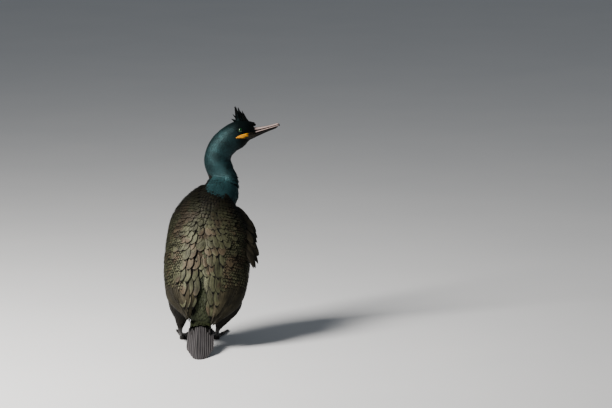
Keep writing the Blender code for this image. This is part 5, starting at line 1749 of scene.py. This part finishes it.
def bill_material(name, bands, colours, gloss):
    """Bill horn, grown in plates and polished by use: dark, with pale bands along its ridges that are painted
    highlights, and fine growth lines.
    """
    made, tree, shader = new_material(name)
    height, along, grain = read(tree, "height"), read(tree, "along"), noise(tree, 300.0, 5.0)
    colour = mixed(tree, grain, linear("#030303"), linear("#0b0909"))
    # Each band of height is a painted highlight along the horn, broken by its grain
    for low, high, strength in bands:
        band = ramp(tree, height, [(low - 0.04, 0.0), (low + 0.03, strength), (high - 0.03, strength),
                                   (high + 0.04, 0.0)])
        pale_streak_and_painted_highlight = math_node(tree, "MULTIPLY", band, ramp(tree, grain, [(0.25, 0.7), (0.6, 1.0)]))
        colour = mixed(tree, pale_streak_and_painted_highlight, colour, colours.bill_painted_highlight)
    tip = ramp(tree, along, [(0.925, 0.0), (0.96, 0.85)])
    colour = mixed(tree, tip, colour, linear("#1a1615"))
    feed(tree, shader, {"Base Color": colour, "Roughness": ramp(tree, grain, [(0.2, 0.34), (0.8, 0.5)]),
                        "Specular IOR Level": gloss, "Normal": bump(tree, grain, 0.25, 0.0003)})
    return made


def leg_material():
    """Leg and web skin, scaled leather: near black, each scale smooth and the creases between them matt."""
    made, tree, shader = new_material("scaled_leg_leather")
    scales = add(tree, "ShaderNodeTexVoronoi", {"feature": "DISTANCE_TO_EDGE"}, {
        "Vector": own_place(tree), "Scale": 1 / (1.8 * MM)})
    seam = ramp(tree, scales.outputs[0], [(0.02, 1.0), (0.14, 0.0)])
    colour = mixed(tree, noise(tree, 90.0, 3.0), linear("#0c0a09"), linear("#231d19"))
    colour = mixed(tree, seam, colour, linear("#050404"))
    feed(tree, shader, {"Base Color": colour, "Roughness": ramp(tree, seam, [(0.0, 0.38), (1.0, 0.75)]),
                        "Specular IOR Level": 0.3, "Normal": bump(tree, seam, 0.4, 0.0002, invert=True)})
    return made


def claw_material():
    """Claw horn, polished by stone: glossy black, in faint paler mottling."""
    made, tree, shader = new_material("polished_claw_horn")
    colour = mixed(tree, noise(tree, 500.0, 3.0), linear("#0e0c0c"), linear("#2a2421"))
    feed(tree, shader, {"Base Color": colour, "Roughness": 0.22})
    return made


def floor_material(colours):
    """The studio floor, matt paper: pale and even, so that only the bird's shadow marks it."""
    made, tree, shader = new_material("matt_studio_paper")
    colour = mixed(tree, noise(tree, 3.0, 2.0), colours.floor, linear("#e4e6e8"))
    feed(tree, shader, {"Base Color": colour, "Roughness": 0.9})
    return made


# The stage

# The camera, worked out from the photograph: where it aims in the spine's millimetres, how far it looks down
# in degrees, how far off it stands in metres and its lens for each metre of that
AIM = np.array([222.2, 0.0, 306.0])
CAMERA_DROP, CAMERA_DISTANCE, CAMERA_LENS, SENSOR = 10.0, 8.0, 26.74, 36.0
FLOOR_HALF, LIGHT_AIM = 30.0, Vector((0.0, 0.0, 0.25))


def make_camera():
    """The photograph's own view."""
    drop = math.radians(CAMERA_DROP)
    way = Vector((0.0, math.cos(drop), -math.sin(drop)))
    camera = bpy.data.cameras.new("photo_view")
    camera.sensor_width = SENSOR
    camera.lens = CAMERA_LENS * CAMERA_DISTANCE
    camera.clip_end = 100.0
    obj = bpy.data.objects.new("photo_view", camera)
    bpy.context.scene.collection.objects.link(obj)
    obj.matrix_world = (Matrix.Translation(Vector(placed(AIM)) - way * CAMERA_DISTANCE)
                        @ way.to_track_quat("-Z", "Y").to_matrix().to_4x4())
    bpy.context.scene.camera = obj


def soft_light(name, azimuth, elevation, distance, size, power, tint):
    """A square soft light on the bird's middle from an azimuth round it, 0 being the camera's side."""
    turn, rise = math.radians(azimuth), math.radians(elevation)
    way = Vector((math.sin(turn) * math.cos(rise), -math.cos(turn) * math.cos(rise), math.sin(rise)))
    light = bpy.data.lights.new(name, "AREA")
    light.size = size
    light.energy = power
    light.color = linear(tint)[:3]
    obj = bpy.data.objects.new(name, light)
    bpy.context.scene.collection.objects.link(obj)
    obj.location = LIGHT_AIM + way * distance
    obj.rotation_euler = (-way).to_track_quat("-Z", "Y").to_euler()


def make_stage(stage, colours):
    """The floor, the camera, two soft lights and the room's even light."""
    corners = [(-FLOOR_HALF, -FLOOR_HALF, 0.0), (FLOOR_HALF, -FLOOR_HALF, 0.0),
               (FLOOR_HALF, FLOOR_HALF, 0.0), (-FLOOR_HALF, FLOOR_HALF, 0.0)]
    floor = new_object("studio_floor", corners, [(0, 1, 2, 3)])
    floor.data.materials.append(floor_material(colours))
    make_camera()
    soft_light("key", azimuth=stage.key_azimuth, elevation=stage.key_elevation, distance=2.2, size=0.8,
               power=stage.key_power, tint="#fff9f2")
    soft_light("fill", azimuth=70.0, elevation=35.0, distance=3.0, size=2.0, power=stage.fill_power,
               tint="#e6efff")
    world = bpy.data.worlds.new("pale_room")
    world.use_nodes = True
    background = world.node_tree.nodes["Background"]
    background.inputs[0].default_value = linear("#dfe6ee")
    background.inputs[1].default_value = stage.room_light
    bpy.context.scene.world = world


# Settings that a user would change

def colour_setting(label, description, hex_colour):
    return FloatVectorProperty(name=label, description=description, default=linear(hex_colour), size=4,
                               min=0.0, max=1.0, subtype="COLOR")


class ShagColours(bpy.types.PropertyGroup):
    """The bird's colours."""
    neck_dark: colour_setting("Neck, dark", "Neck gloss in its darkest feathers", "#040909")
    neck_light: colour_setting("Neck, light", "Neck gloss in its brightest feathers", "#2d4c50")
    back_dark: colour_setting("Back, dark", "Middle of the darkest back feathers", "#0d0d09")
    back_warm: colour_setting("Back, warm", "Middle of the browner back feathers", "#504636")
    back_light: colour_setting("Back, light", "Middle of the palest back feathers", "#555740")
    # Both iris colours are painted darker for the shade over the eye; they mix in random flecks, not by where
    # light falls
    iris_dark_painted_shade: colour_setting("Iris, dark", "Shaded part of the iris", "#021207")
    iris_pale_painted_shade: colour_setting("Iris, light", "Lit part of the iris", "#0a4a1c")
    gape: colour_setting("Gape", "Bare skin at the corner of the mouth", "#dc9600")
    # The bill's pale bands are painted highlights along its ridges
    bill_painted_highlight: colour_setting("Bill ridges", "Worn ridges of the bill", "#b09d98")
    floor: colour_setting("Floor", "Studio floor", "#dcdfe2")


class ShagStage(bpy.types.PropertyGroup):
    """Light on the bird."""
    key_azimuth: FloatProperty(
        name="Key azimuth", description="Degrees round the bird, 0 at the camera's side", default=-57.0)
    key_elevation: FloatProperty(name="Key elevation", description="Degrees over the floor", default=40.0)
    key_power: FloatProperty(name="Key power", description="Watts of the key light", default=140.0, min=0.0)
    fill_power: FloatProperty(name="Fill power", description="Watts of the fill light", default=2.0, min=0.0)
    room_light: FloatProperty(name="Room light", description="Strength of the room's own light", default=0.18,
                              min=0.0)


# Operators

class SHAG_OT_skin(bpy.types.Operator):
    """Makes the one skin under the coat"""
    bl_idname = "shag.skin"
    bl_label = "Skin"

    def execute(self, context):
        make_skin(under_skin_material())
        return {"FINISHED"}


class SHAG_OT_coat(bpy.types.Operator):
    """Lays the small feathers of body, thighs and wings"""
    bl_idname = "shag.coat"
    bl_label = "Coat"

    def execute(self, context):
        colours = context.scene.shag_colours
        finishes = {
            "neck": neck_material(colours), "scaly": scaly_material(colours),
            "rump": plain_feather_material("glossy_rump_feather", "#0d0f09", "#373d29", 0.45, 0.25),
            "flank": plain_feather_material("loose_flank_feather", "#070605", "#1e1b16", 0.5, 0.2),
            "under": plain_feather_material("dense_belly_feather", "#040505", "#101513", 0.5, 0.3)}
        make_body_coat(finishes)
        make_thigh_coat(finishes["flank"])
        for side, word in SIDES:
            make_wing_coat(side, word, finishes["scaly"])
        return {"FINISHED"}


class SHAG_OT_flight_feathers(bpy.types.Operator):
    """Makes the long feathers of the wings and the feathers that the wind lifts"""
    bl_idname = "shag.flight_feathers"
    bl_label = "Flight feathers"

    def execute(self, context):
        tones = (linear("#0b0a08"), linear("#45402f"), linear("#020202"))
        finish = feather_material("stiff_flight_quill", tones, roughness=0.45, metal=0.2, barb_mm=1.3,
                                  border_from=0.45, streak=0.5)
        for side, word in SIDES:
            make_long_feathers(side, word, finish)
        return {"FINISHED"}


class SHAG_OT_tail(bpy.types.Operator):
    """Makes the tail's twelve feathers and their coverts"""
    bl_idname = "shag.tail"
    bl_label = "Tail"

    def execute(self, context):
        make_tail({"tail": tail_material(), "rump": bpy.data.materials["glossy_rump_feather"]})
        return {"FINISHED"}


class SHAG_OT_head(bpy.types.Operator):
    """Makes crest, eyes, lids, gape and bill"""
    bl_idname = "shag.head"
    bl_label = "Head"

    def execute(self, context):
        colours = context.scene.shag_colours
        make_crest(bpy.data.materials["silky_neck_feather"])
        eye, lids, gape = eye_material(colours), lid_material(), gape_material(colours)
        for side, word in SIDES:
            make_eye(side, word, eye)
            make_lids(side, word, lids)
            make_gape(side, word, gape)
        # Bands of height painted pale as highlights: by the upper half's cutting edge and along its ridge,
        # and a faint one on the lower half
        ridges = [(0.10, 0.27, 1.0), (0.60, 0.97, 0.8)]
        make_bill({
            "bill_upper": bill_material("ridged_upper_bill_horn", ridges, colours, 0.3),
            "bill_lower": bill_material("ridged_lower_bill_horn", [(0.34, 0.44, 0.06)], colours, 0.12)})
        return {"FINISHED"}


class SHAG_OT_legs(bpy.types.Operator):
    """Makes the bare legs, the webbed feet, their plates and claws"""
    bl_idname = "shag.legs"
    bl_label = "Legs"

    def execute(self, context):
        leather, horn = leg_material(), claw_material()
        for side, word in SIDES:
            make_shank(side, word, leather)
            make_foot(side, word, leather)
            make_claws(side, word, horn)
        make_scutes(leather)
        return {"FINISHED"}


class SHAG_OT_stage(bpy.types.Operator):
    """Sets the floor, the light and the camera"""
    bl_idname = "shag.stage"
    bl_label = "Stage"

    def execute(self, context):
        make_stage(context.scene.shag_stage, context.scene.shag_colours)
        return {"FINISHED"}


class SHAG_PT_panel(bpy.types.Panel):
    """Lists the bird's steps and settings"""
    bl_label = "Shag"
    bl_space_type = "VIEW_3D"
    bl_region_type = "UI"
    bl_category = "Shag"

    def draw(self, context):
        for group in (context.scene.shag_colours, context.scene.shag_stage):
            for name in type(group).__annotations__:
                self.layout.prop(group, name)
        for step in STEPS:
            self.layout.operator(step.bl_idname)


STEPS = [SHAG_OT_skin, SHAG_OT_coat, SHAG_OT_flight_feathers, SHAG_OT_tail, SHAG_OT_head, SHAG_OT_legs,
         SHAG_OT_stage]
CLASSES = [ShagColours, ShagStage, *STEPS, SHAG_PT_panel]


def register():
    for kind in CLASSES:
        bpy.utils.register_class(kind)
    bpy.types.Scene.shag_colours = PointerProperty(type=ShagColours)
    bpy.types.Scene.shag_stage = PointerProperty(type=ShagStage)


def unregister():
    del bpy.types.Scene.shag_stage
    del bpy.types.Scene.shag_colours
    for kind in reversed(CLASSES):
        bpy.utils.unregister_class(kind)


def main():
    register()
    for step in STEPS:
        group, name = step.bl_idname.split(".")
        getattr(getattr(bpy.ops, group), name)()


if __name__ == "__main__":
    main()
